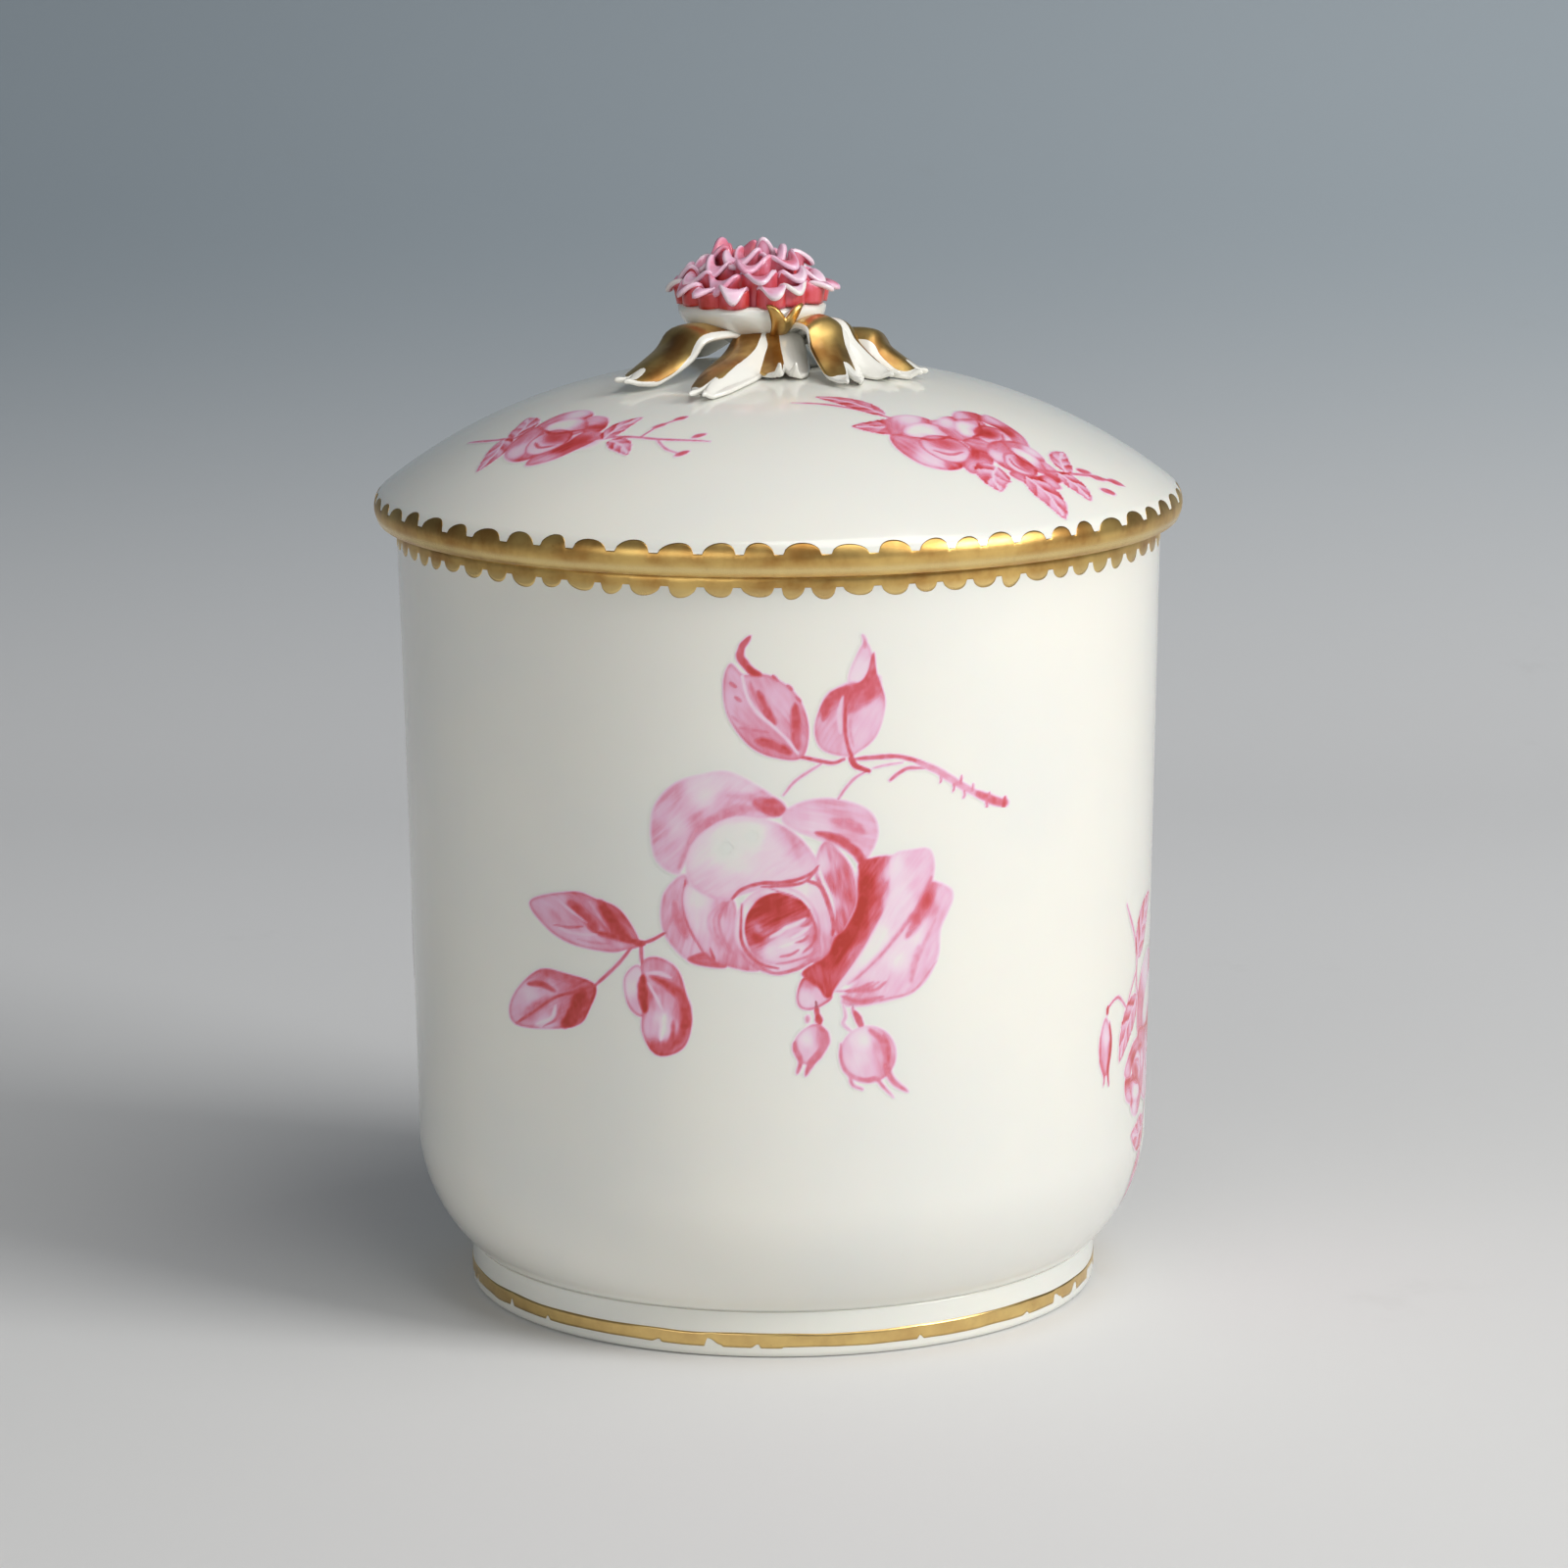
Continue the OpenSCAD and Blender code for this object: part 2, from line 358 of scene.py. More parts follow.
def thicken(piece, depth):
    # gives a thin skin its depth, inwards from its outer face
    skin = piece.modifiers.new("depth", "SOLIDIFY")
    skin.thickness = depth * mm
    skin.offset = -1
    return piece


bodyLow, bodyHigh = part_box("jar_body")
ringLow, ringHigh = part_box("foot_ring")
lidLow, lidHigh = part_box("lid_dome")
flangeLow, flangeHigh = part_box("lid_flange")
cupLow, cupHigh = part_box("flower_cup")

pot = {
    "rim": bodyHigh[2] / mm,
    "topRadius": bodyHigh[0] / mm,
    "taper": 1.0,              # how much narrower the wall is at the belly than at the rim
    "wall": 2.5,
    "floor": 3.4,
    "recess": 0.5,
    "bellyRadius": 14.0,
    "floorCurve": 7.0,
    "rimRound": 0.9,
    "footRadius": ringHigh[0] / mm,
    "footHeight": ringHigh[2] / mm,
    "footWall": 2.6,
    "footEdge": 0.6,
}
pot["lowRadius"] = pot["topRadius"] - pot["taper"]
pot["bellyCentre"] = pot["lowRadius"] - pot["bellyRadius"]
pot["footTurn"] = math.degrees(math.acos(
    (pot["footRadius"] - 0.1 - pot["bellyCentre"]) / pot["bellyRadius"]))
pot["bellyHeight"] = (pot["footHeight"]
                      + pot["bellyRadius"] * math.sin(math.radians(pot["footTurn"])))


def wallRadius(height):
    # outer radius of the pot at a height, from the foot's top to the rim
    height = np.asarray(height, float)
    drop = np.clip(pot["bellyHeight"] - height, 0, pot["bellyRadius"])
    belly = pot["bellyCentre"] + np.sqrt(pot["bellyRadius"] ** 2 - drop ** 2)
    shoulder = pot["rim"] - pot["rimRound"]
    part = np.clip((height - pot["bellyHeight"]) / (shoulder - pot["bellyHeight"]), 0, 1)
    wall = pot["lowRadius"] + (pot["topRadius"] - pot["lowRadius"]) * part
    rise = np.clip(height - shoulder, 0, pot["rimRound"])
    curl = pot["rimRound"] - np.sqrt(pot["rimRound"] ** 2 - rise ** 2)
    return np.where(height < pot["bellyHeight"], belly, wall) - curl


def potSway(angle, height):
    # the slight unevenness of a thrown wall, fading out at the foot and the rim
    calm = smoothStep(height, 8, 20) * (1 - smoothStep(height, 58, 66))
    return (0.05 * np.sin(2 * angle + 0.6) + 0.03 * np.sin(3 * angle + height / 14)) * calm


def onWall(along, height, lift):
    # a point of the pot's outer wall: arc length from the front, height, distance proud
    angle = np.asarray(along) / pot["topRadius"]
    radius = wallRadius(height) + potSway(angle, height) + lift
    return np.stack([radius * np.sin(angle), -radius * np.cos(angle),
                     np.broadcast_to(height, radius.shape)], -1)


def makePot():
    recessRadius = pot["footRadius"] - pot["footWall"] - pot["recess"]
    base = pot["footHeight"] + pot["recess"]
    floor = base + pot["floor"]
    mouth = pot["topRadius"] - pot["wall"]
    edge = pot["rimRound"]
    wall = np.linspace(pot["bellyHeight"] + 1.5, pot["rim"] - edge - 0.5, 24)
    section = [(0, base), (recessRadius - 0.4, base), (recessRadius, base),
               (recessRadius + pot["recess"], pot["footHeight"])]
    section += arc(pot["bellyCentre"], pot["bellyHeight"], pot["bellyRadius"],
                   -pot["footTurn"], 0, 24)
    section += [(float(wallRadius(z)), z) for z in wall]
    section += arc(pot["topRadius"] - edge, pot["rim"] - edge, edge, 0, 90, 7)
    section += arc(mouth + edge, pot["rim"] - edge, edge, 90, 180, 7)
    section += [(mouth - pot["taper"] * (pot["rim"] - z) / pot["rim"], z) for z in wall[::-1]]
    section += arc(pot["lowRadius"] - pot["wall"] - pot["floorCurve"],
                   floor + pot["floorCurve"], pot["floorCurve"], 0, -90, 14)
    section += [(0, floor)]
    lathe("thrown_pot", section, "jar", ["jar_body"], sway=potSway)


def makeFoot():
    edge = pot["footEdge"]
    outer, inner = pot["footRadius"], pot["footRadius"] - pot["footWall"]
    section = arc(outer - edge, edge, edge, -90, 0, 6)
    section += arc(outer - edge / 5, pot["footHeight"] - edge / 5, edge / 5, 0, 90, 4)
    section += [(inner, pot["footHeight"])]
    section += arc(inner + edge, edge, edge, 180, 270, 6)
    lathe("turned_foot", section, "jar", ["foot_ring"])


lid = {
    "radius": lidHigh[0] / mm,
    "seat": lidLow[2] / mm,
    "bead": 2.0,
    "lip": 0.8,
    "lipTurn": 18,
    "lipDrop": 0.45,           # how far the lip hangs outside the pot's rim
    "slope": 38,
    "shoulder": 48.5,
    "crown": 80.0,
    "thick": 2.8,
    "hollowRound": 3.0,
    "flangeWall": 2.0,
    "lipWidth": 1.5,
    "lipInset": 1.6,
}
lid["lipShift"] = lid["bead"] - lid["lip"]
lid["beadHeight"] = (lid["seat"] + lid["lip"]
                     + lid["lipShift"] * math.sin(math.radians(lid["lipTurn"])))
lid["beadCentre"] = lid["radius"] - lid["bead"]
lid["beadEnd"] = 90 - lid["slope"]
lid["shoulderCentre"] = lid["beadCentre"] - (
    (lid["shoulder"] - lid["bead"]) * math.cos(math.radians(lid["beadEnd"])))
lid["shoulderHeight"] = lid["beadHeight"] - (
    (lid["shoulder"] - lid["bead"]) * math.sin(math.radians(lid["beadEnd"])))
lid["crownEnd"] = math.degrees(math.acos(
    lid["shoulderCentre"] / (lid["crown"] - lid["shoulder"])))
lid["crownHeight"] = lid["shoulderHeight"] - (
    (lid["crown"] - lid["shoulder"]) * math.sin(math.radians(lid["crownEnd"])))
lid["apex"] = lid["crownHeight"] + lid["crown"]


def domeHeight(radius):
    radius = np.minimum(np.asarray(radius, float), lid["radius"] - 0.8)
    onCrown = radius < lid["crown"] * math.cos(math.radians(lid["crownEnd"]))
    crown = lid["crownHeight"] + np.sqrt(lid["crown"] ** 2 - radius ** 2)
    shoulder = lid["shoulderHeight"] + np.sqrt(
        lid["shoulder"] ** 2 - (radius - lid["shoulderCentre"]) ** 2)
    return np.where(onCrown, crown, shoulder)


def onDome(x, y, lift):
    radius = np.hypot(x, y)
    return np.stack([x, y, domeHeight(radius) + lift * 1.1], -1)


def onBead(angle, along, lift):
    # a point of the cover's edge: along runs over the bead from its widest point, up is plus
    turn = along / lid["bead"]
    high, low = math.radians(lid["beadEnd"]), -math.radians(lid["lipTurn"])
    shoulderTurn = high + (turn - high) * lid["bead"] / lid["shoulder"]
    under = (low - turn) * lid["bead"]
    fall = np.clip(under, 0, lid["lipDrop"])
    lipTurn = low - (under - fall) / lid["lip"]

    def bend(part, across, up):
        lipRadius = (lid["beadCentre"] + lid["lipShift"] * math.cos(low)) * across
        lipHeight = lid["beadHeight"] * up + lid["lipShift"] * math.sin(low) * up
        beadPoint = (lid["beadCentre"] * across + lid["beadHeight"] * up
                     + (lid["bead"] + lift) * part(turn))
        overPoint = (lid["shoulderCentre"] * across + lid["shoulderHeight"] * up
                     + (lid["shoulder"] + lift) * part(shoulderTurn))
        slide = fall * (math.sin(low) * across - math.cos(low) * up)
        underPoint = lipRadius + lipHeight + (lid["lip"] + lift) * part(lipTurn) + slide
        return np.where(turn > high, overPoint, np.where(turn < low, underPoint, beadPoint))

    radius, height = bend(np.cos, 1, 0), bend(np.sin, 0, 1)
    return np.stack([radius * np.sin(angle), -radius * np.cos(angle), height], -1)


def makeLid():
    flangeRadius = flangeHigh[0] / mm
    hollow = flangeRadius - lid["flangeWall"]
    centre = hollow - lid["hollowRound"]
    reach = lid["shoulder"] - lid["thick"] - lid["hollowRound"]
    rise = math.sqrt(reach ** 2 - (centre - lid["shoulderCentre"]) ** 2)
    hollowEnd = math.degrees(math.atan2(rise, centre - lid["shoulderCentre"]))
    turn = math.radians(lid["lipTurn"])
    section = arc(0, lid["crownHeight"], lid["crown"], 90, lid["crownEnd"], 8)
    section += arc(lid["shoulderCentre"], lid["shoulderHeight"], lid["shoulder"],
                   lid["crownEnd"] - 1, lid["beadEnd"], 28)
    section += arc(lid["beadCentre"], lid["beadHeight"], lid["bead"],
                   lid["beadEnd"] - 5, -lid["lipTurn"], 14)
    inward, down = lid["lipDrop"] * math.sin(turn), lid["lipDrop"] * math.cos(turn)
    section += arc(lid["beadCentre"] + lid["lipShift"] * math.cos(turn) - inward,
                   lid["beadHeight"] - lid["lipShift"] * math.sin(turn) - down, lid["lip"],
                   -lid["lipTurn"], -90, 6)
    section += [(lid["radius"] - lid["lipWidth"], lid["seat"] - down + 0.1),
                (lid["radius"] - lid["lipInset"], lid["seat"]),
                (flangeRadius + 0.2, lid["seat"]), (hollow, lid["seat"]),
                (hollow, lid["seat"] + 0.6)]
    section += arc(centre, lid["shoulderHeight"] + rise, lid["hollowRound"], 0, hollowEnd, 8)
    section += arc(lid["shoulderCentre"], lid["shoulderHeight"],
                   lid["shoulder"] - lid["thick"], hollowEnd + 2, lid["crownEnd"], 20)
    section += arc(0, lid["crownHeight"], lid["crown"] - lid["thick"],
                   lid["crownEnd"] + 1, 90, 6)
    section[0] = (0, section[0][1])
    section[-1] = (0, section[-1][1])
    lathe("domed_cover", section, "lid", ["lid_dome"])


def smoothFrame(node):
    # keeps a node as it is, glazed and smoothly shaded
    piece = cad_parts[node]
    piece.data.materials.clear()
    piece.data.materials.append(glaze)
    weld = piece.modifiers.new("weld", "WELD")
    weld.merge_threshold = 0.002 * mm
    smooth = piece.modifiers.new("smooth", "WEIGHTED_NORMAL")
    smooth.keep_sharp = False


makePot()
makeFoot()
makeLid()
for name in ("lid_flange", "knob_stem", "flower_cup"):
    smoothFrame(name)
print("pot and cover thrown")


gilt = {
    "lift": 0.035,
    "bodyRoot": 67.6,          # height where the pot's lobes start
    "bodyLobe": 0.92,
    "bodyLobes": 72,
    "lidUnder": -1.98,         # where the gold starts under the bead, along its outline
    "lidRoot": 0.42,
    "lidLobe": 1.0,
    "gap": 0.2,                # share of each lobe's width left bare beside it
    "lidLobes": 63,
    "footLow": 0.95,
    "footHigh": 2.2,
    "rimBurnishAndShine": 0.6,          # how strongly each band is burnished and lightened with painted shine, 0 to 1
    "footBurnishAndShine": 0.5,
    "beadPaintedHighlight": (-1.0, 0.34),  # place and half width of the painted highlight line along the bead
}


def lobedEdge(count, columns, lobe, seed):
    # angles and heights of a row of brush-touched lobes, each a little different
    chance = np.random.default_rng(seed)
    widths = 1 + chance.uniform(-0.2, 0.2, count)
    ends = np.concatenate([[0], np.cumsum(widths)]) / widths.sum() * 2 * math.pi
    tall = lobe * (1 + chance.uniform(-0.22, 0.16, count))
    lean = chance.uniform(-0.22, 0.22, count)
    angle, height = [], []
    for i in range(count):
        across = np.concatenate([[-1], np.linspace(-1, 1, columns + 1) * (1 - gilt["gap"])])
        bent = across / (1 - gilt["gap"])
        bent = (bent + lean[i] * (1 - bent ** 2)).clip(-1, 1)
        angle.append(ends[i] + (ends[i + 1] - ends[i]) * (across + 1) / 2)
        height.append(tall[i] * (1 - np.abs(bent) ** 2.2) ** 0.6)
    return np.concatenate(angle), np.concatenate(height)


def goldBand(name, body, place, far, near, angle, polish, rows=9):
    # a band of gold between two edges that may both wander with the angle
    t = np.linspace(0, 1, rows)[:, None]
    along = far + (near - far) * t
    crown = gilt["lift"] * (0.55 + 0.45 * np.sin(math.pi * np.clip(t, 0.02, 0.98)))
    points = place(np.broadcast_to(angle, along.shape), along, crown)
    faces = gridFaces(rows, along.shape[1], loopColumns=True)
    # the band's burnish field lowers the roughness and mixes in painted shine
    piece = makePiece(name, points.reshape(-1, 3), faces, body,
                      burnishedGold, fields={"polish": polish(along)})
    a, b, c = (points.reshape(-1, 3)[k] for k in faces[0][:3])
    if np.dot(np.cross(b - a, c - a)[:2], a[:2]) < 0:
        piece.data.flip_normals()
    return thicken(piece, gilt["lift"] * 0.9)


def aroundPot(angle, height, lift):
    return onWall(angle * pot["topRadius"], height, lift)


def aroundFoot(angle, height, lift):
    radius = pot["footRadius"] + lift + 0 * height
    return np.stack([radius * np.sin(angle), -radius * np.cos(angle), height + 0 * angle], -1)


def makeGilding():
    angle, lobes = lobedEdge(gilt["bodyLobes"], 14, gilt["bodyLobe"], 3)
    top = np.full_like(angle, pot["rim"] - 0.02)
    goldBand("rim_gilding", "jar", aroundPot, top, gilt["bodyRoot"] - lobes, angle,
             lambda along: smoothStep(gilt["bodyRoot"] - along, -0.1, 0.5) * gilt["rimBurnishAndShine"])
    angle, lobes = lobedEdge(gilt["lidLobes"], 16, gilt["lidLobe"], 5)
    under = np.full_like(angle, gilt["lidUnder"])
    # painted highlight: a pale line of painted shine runs along the lower part of the bead
    middle, spread = gilt["beadPaintedHighlight"]
    goldBand("cover_gilding", "lid", onBead, under, gilt["lidRoot"] + lobes, angle,
             lambda along: np.exp(-((along - middle) / spread) ** 2), 22)
    angle = np.linspace(0, 2 * math.pi, 1441)[:-1]
    around = angle * pot["footRadius"]
    worn = smoothStep(softNoise(around, 0 * around, 1.1, 11)
                      + 0.8 * softNoise(around, 0 * around, 14, 12), 0.62, 0.95)
    low = (gilt["footLow"] + 0.08 * softNoise(around, 0 * around, 2.5, 13)
           + worn * (gilt["footHigh"] - gilt["footLow"]) * 0.6)
    high = gilt["footHigh"] + 0.07 * softNoise(around, 0 * around, 4, 14)
    goldBand("foot_gilding", "jar", aroundFoot, low, high, angle,
             lambda along: gilt["footBurnishAndShine"] + 0 * along, 6)


makeGilding()
print("gilding laid")


def smoothCurve(points, closed=False, steps=8):
    # an even curve through the given points
    points = np.array(points, float)
    if closed:
        padded = np.vstack([points[-1:], points, points[:2]])
    else:
        padded = np.vstack([2 * points[0] - points[1], points, 2 * points[-1] - points[-2]])
    t = np.arange(steps)[:, None] / steps
    parts = []
    for a, b, c, d in zip(padded, padded[1:], padded[2:], padded[3:]):
        parts.append(b + 0.5 * t * (c - a + t * (2 * a - 5 * b + 4 * c - d
                                                + t * (3 * b - a - 3 * c + d))))
    curve = np.vstack(parts)
    return curve if closed else np.vstack([curve, points[-1:]])


def oval(middle, half, points=14):
    turns = np.linspace(0, 2 * math.pi, points + 1)[:-1]
    return [(middle[0] + half[0] * math.cos(turn), middle[1] + half[1] * math.sin(turn))
            for turn in turns]


def nearCurve(u, v, curve, closed=False):
    # distance to a curve, how far along it the nearest point is, and on which side
    ends = np.vstack([curve[1:], curve[:1]]) if closed else curve[1:]
    starts = curve if closed else curve[:-1]
    best = np.full(u.shape, 1e9)
    along = np.zeros(u.shape)
    side = np.ones(u.shape)
    for i, (a, b) in enumerate(zip(starts, ends)):
        du, dv = b - a
        span = du * du + dv * dv + 1e-12
        t = np.clip(((u - a[0]) * du + (v - a[1]) * dv) / span, 0, 1)
        gapU, gapV = u - a[0] - t * du, v - a[1] - t * dv
        gap = gapU * gapU + gapV * gapV
        closer = gap < best
        best = np.where(closer, gap, best)
        along = np.where(closer, (i + t) / len(starts), along)
        side = np.where(closer, np.sign(du * gapV - dv * gapU), side)
    return np.sqrt(best), along, side


def insideCurve(u, v, curve):
    inside = np.zeros(u.shape, bool)
    for a, b in zip(curve, np.vstack([curve[1:], curve[:1]])):
        if a[1] != b[1]:
            crosses = (a[1] > v) != (b[1] > v)
            inside ^= crosses & (u < (b[0] - a[0]) * (v - a[1]) / (b[1] - a[1]) + a[0])
    return inside


class Canvas:
    # a sheet of enamel, painted from the back of a spray to its front; 0 is bare, 1 crimson
    def __init__(self, low, high, pitch, seed):
        self.pitch = pitch
        self.seed = seed
        self.u, self.v = np.meshgrid(np.arange(low[0], high[0], pitch),
                                     np.arange(low[1], high[1], pitch), indexing="ij")
        self.ink = np.zeros_like(self.u)

    def near(self, points, margin):
        low = np.min(points, 0) - margin - (self.u[0, 0], self.v[0, 0])
        high = np.max(points, 0) + margin - (self.u[0, 0], self.v[0, 0])
        i, j = (np.maximum(0, low) / self.pitch).astype(int)
        k, m = (np.maximum(0, high) / self.pitch).astype(int) + 1
        return slice(i, k), slice(j, m)

    def grain(self, u, v, slant, length=1.9, width=0.3):
        # brush marks that run along a slant, in degrees
        self.seed += 1
        turn = math.radians(slant)
        along = u * math.cos(turn) + v * math.sin(turn)
        across = v * math.cos(turn) - u * math.sin(turn)
        wander = 0.4 * softNoise(u, v, 2.4, self.seed + 40)
        return (0.65 * softNoise(along / length, (across + wander) / width, 1, self.seed)
                + 0.35 * softNoise(along / length * 2, across / width * 2.1, 1, self.seed + 7))

    def lay(self, here, cover, tone):
        self.ink[here] = self.ink[here] * (1 - cover) + np.clip(tone, 0, 1) * cover

    def wash(self, outline, tones, edge=0.0, slant=90, streak=0.25, soft=0.14, rim=0.3):
        # an opaque petal: tones are (u, v, ink) spots that blend, edge darkens its outline
        curve = smoothCurve(outline, True)
        here = self.near(curve, soft + 0.1)
        u, v = self.u[here], self.v[here]
        if u.size == 0:
            return
        gap, _, _ = nearCurve(u, v, curve, True)
        depth = np.where(insideCurve(u, v, curve), gap, -gap)
        total, weight = 0, 1e-9
        for spotU, spotV, ink in tones:
            share = 1 / ((u - spotU) ** 2 + (v - spotV) ** 2 + 0.25) ** 1.6
            total = total + share * ink
            weight = weight + share
        tone = total / weight
        tone = tone * (1 + streak * self.grain(u, v, slant))
        tone = tone + edge * np.exp(-(np.maximum(depth, 0) / rim) ** 2)
        self.lay(here, smoothStep(depth, -soft, soft), tone)

    def stroke(self, points, width, ink, ends=(0.15, 0.15), soft=0.1, strength=1.0):
        # a brush line that swells from one end's share of the width to the middle
        curve = smoothCurve(points)
        here = self.near(curve, width + soft)
        u, v = self.u[here], self.v[here]
        if u.size == 0:
            return
        gap, along, _ = nearCurve(u, v, curve)
        swell = np.sqrt(np.clip(np.sin(math.pi * along), 0, 1))
        end = ends[0] + (ends[1] - ends[0]) * along
        half = width / 2 * (end + (1 - end) * swell)
        self.seed += 1
        wander = 1 + 0.16 * softNoise(u, v, 0.5, self.seed)
        cover = smoothStep(half * wander - gap, -soft, soft) * strength
        self.lay(here, cover, ink * (1 + 0.12 * softNoise(u, v, 0.35, self.seed + 5)))

    def blot(self, at, size, ink, slant=0, strength=0.9):
        # a soft patch of colour; size is its half length and half width
        here = self.near(np.array([at]), max(size) * 2.2)
        u, v = self.u[here] - at[0], self.v[here] - at[1]
        turn = math.radians(slant)
        along = (u * math.cos(turn) + v * math.sin(turn)) / size[0]
        across = (v * math.cos(turn) - u * math.sin(turn)) / size[1]
        self.seed += 1
        frayed = 1 + 0.3 * self.grain(self.u[here], self.v[here], slant)
        cover = strength * np.exp(-(along ** 2 + across ** 2) ** 1.3 * frayed)
        self.lay(here, np.clip(cover, 0, 1), ink)

    def leaf(self, base, tip, width, bend, veins=4, dark=1, deep=0.85, pale=0.3, notch=0.1,
             rib=0.1):
        # a leaf with wedges of shade between its veins; dark is the deeper side, 1 or -1
        base, tip = np.array(base, float), np.array(tip, float)
        run = tip - base
        length = np.linalg.norm(run)
        normal = np.array([-run[1], run[0]]) / length
        middle = (base + tip) / 2 + normal * bend
        axis = smoothCurve([base, middle, tip], steps=16)
        here = self.near(np.vstack([axis - width, axis + width]), 0.2)
        u, v = self.u[here], self.v[here]
        if u.size == 0:
            return
        gap, along, side = nearCurve(u, v, axis)
        teeth = along * veins * 2 + 0.3 * side
        teeth = teeth - np.floor(teeth)
        shape = np.sin(math.pi * np.clip(along, 0, 1) ** 0.72) ** 0.75
        half = width / 2 * shape * (1 - notch * teeth)
        across = np.clip(gap / np.maximum(half, 0.05), 0, 1.4)
        wedge = along * veins - across * 0.75 + np.where(side > 0, 0.0, 0.45) + 0.9
        wedge = wedge - np.floor(wedge)
        shade = smoothStep(wedge, 0.15, 0.95) * (1 - smoothStep(wedge, 0.95, 1.0))
        amount = np.where(side * dark > 0, 1.0, 0.55) * (1.05 - 0.55 * along)
        tone = pale + (deep - pale) * shade * amount
        tone = tone * (1 + 0.2 * self.grain(u, v, math.degrees(math.atan2(run[1], run[0]))))
        tone = tone + 0.25 * np.exp(-((half - gap) / 0.22) ** 2)
        tone = tone + (rib - tone) * 0.85 * np.exp(-(gap / 0.13) ** 2) * (along < 0.93)
        self.lay(here, smoothStep(half - gap, -0.1, 0.1) * (along < 0.999), tone)

    def bud(self, neck, tip, width, deep=0.7):
        # a rosebud hanging from its hip, with calyx points past its tip
        neck, tip = np.array(neck, float), np.array(tip, float)
        run = tip - neck
        length = np.linalg.norm(run)
        along = run / length
        normal = np.array([-along[1], along[0]])

        def at(t, s):
            return tuple(neck + run * t + normal * s * width)

        self.wash([at(0.02, 0), at(0.25, 0.38), at(0.55, 0.5), at(0.85, 0.3), at(1.0, 0.03),
                   at(0.85, -0.27), at(0.55, -0.5), at(0.25, -0.38)],
                  [(*at(0.4, 0.1), 0.1), (*at(0.5, -0.4), 0.4), (*at(0.5, 0.42), 0.55)],
                  edge=0.25, slant=math.degrees(math.atan2(run[1], run[0])))
        self.stroke([at(0.12, 0.3), at(0.5, 0.44), at(0.9, 0.2), at(1.2, 0.28)], width * 0.2, deep)
        self.stroke([at(0.3, -0.4), at(0.7, -0.42), at(1.0, -0.1), at(1.15, -0.15)],
                    width * 0.13, deep * 0.8)
        self.stroke([at(0.0, 0.12), at(-0.15, 0.16)], width * 0.2, deep)

    def rose(self, centre, radius, turn=0.0, deep=0.85, lift=0.35):
        # a full rose: a ring of outer petals, a round cup in front and a dark heart
        cosTurn, sinTurn = math.cos(math.radians(turn)), math.sin(math.radians(turn))

        def at(x, y):
            return (centre[0] + radius * (x * cosTurn - y * sinTurn),
                    centre[1] + radius * (x * sinTurn + y * cosTurn))

        def ring(points):
            return [at(x, y) for x, y in points]

        self.wash(ring([(-0.95, 0.25), (-0.8, 0.8), (-0.3, 1.0), (0.1, 0.8), (-0.1, 0.4),
                        (-0.6, 0.0)]), [(*at(-0.8, 0.5), 0.5), (*at(-0.3, 0.8), 0.1),
                                        (*at(0.05, 0.6), 0.75)], 0.15, turn + 60)
        self.wash(ring([(0.05, 0.75), (0.5, 0.85), (0.85, 0.55), (0.8, 0.25), (0.3, 0.3)]),
                  [(*at(0.4, 0.75), 0.3), (*at(0.7, 0.4), 0.75)], 0.15, turn + 20)
        self.wash(ring([(0.55, 0.25), (1.0, 0.35), (1.05, 0.0), (0.75, -0.65), (0.25, -0.95),
                        (0.15, -0.6), (0.5, -0.2)]),
                  [(*at(0.55, -0.3), deep), (*at(0.9, 0.1), 0.3), (*at(0.6, -0.7), lift)],
                  0.2, turn + 60)
        self.wash(ring([(-0.95, 0.2), (-1.0, -0.25), (-0.7, -0.75), (-0.2, -0.9), (0.15, -0.7),
                        (-0.2, -0.2), (-0.6, 0.15)]),
                  [(*at(-0.85, -0.2), 0.5), (*at(-0.4, -0.6), 0.15), (*at(0, -0.75), 0.6)],
                  0.25, turn - 60)
        self.wash(ring([(-0.65, 0.3), (-0.3, 0.65), (0.2, 0.6), (0.5, 0.3), (0.3, 0.05),
                        (-0.3, 0.0)]), [(*at(-0.2, 0.35), 0.03), (*at(0.4, 0.35), 0.45)],
                  0.25, turn)
        self.wash(ring([(-0.45, 0.0), (-0.15, 0.2), (0.3, 0.15), (0.5, -0.2), (0.25, -0.6),
                        (-0.15, -0.65), (-0.45, -0.35)]),
                  [(*at(-0.2, 0.0), 0.2), (*at(0.2, -0.4), 0.15), (*at(0.3, 0.1), 0.5)],
                  0.45, turn, rim=0.2)
        self.blot(at(0.0, -0.08), (radius * 0.36, radius * 0.2), deep, turn - 20)
        self.stroke(ring([(-0.3, -0.3), (0.0, -0.42), (0.32, -0.3)]), radius * 0.07, deep * 0.8)
        self.stroke(ring([(-0.55, 0.12), (-0.1, 0.05), (0.45, 0.32)]), radius * 0.08, deep)

    def lift(self, name, place, body, thick=0.03):
        # turns the painted cells into a thin sheet on the ware
        inked = self.ink > 0.012
        cells = inked[:-1, :-1] | inked[1:, :-1] | inked[:-1, 1:] | inked[1:, 1:]
        i, j = np.nonzero(cells)
        columns = self.u.shape[1]
        corner = i * columns + j
        quads = np.stack([corner, corner + columns, corner + columns + 1, corner + 1], -1)
        used, quads = np.unique(quads, return_inverse=True)
        quads = quads.reshape(-1, 4)
        ink = self.ink.ravel()[used]
        points = place(self.u.ravel()[used], self.v.ravel()[used],
                       thick * (0.4 + 0.6 * np.clip(ink / 0.2, 0, 1)))
        return makePiece(name, points, quads.tolist(), body, enamel,
                         fields={"ink": ink})


def fromFront(x, z, lift):
    # the front spray is laid out as it is seen from the front, then wrapped on the wall
    near = pot["topRadius"] - 0.5
    angle = np.arcsin(np.clip(x / near, -0.98, 0.98))
    fall = 0.195 * (near - np.sqrt(near ** 2 - x ** 2))
    return onWall(angle * pot["topRadius"], z - fall, lift)


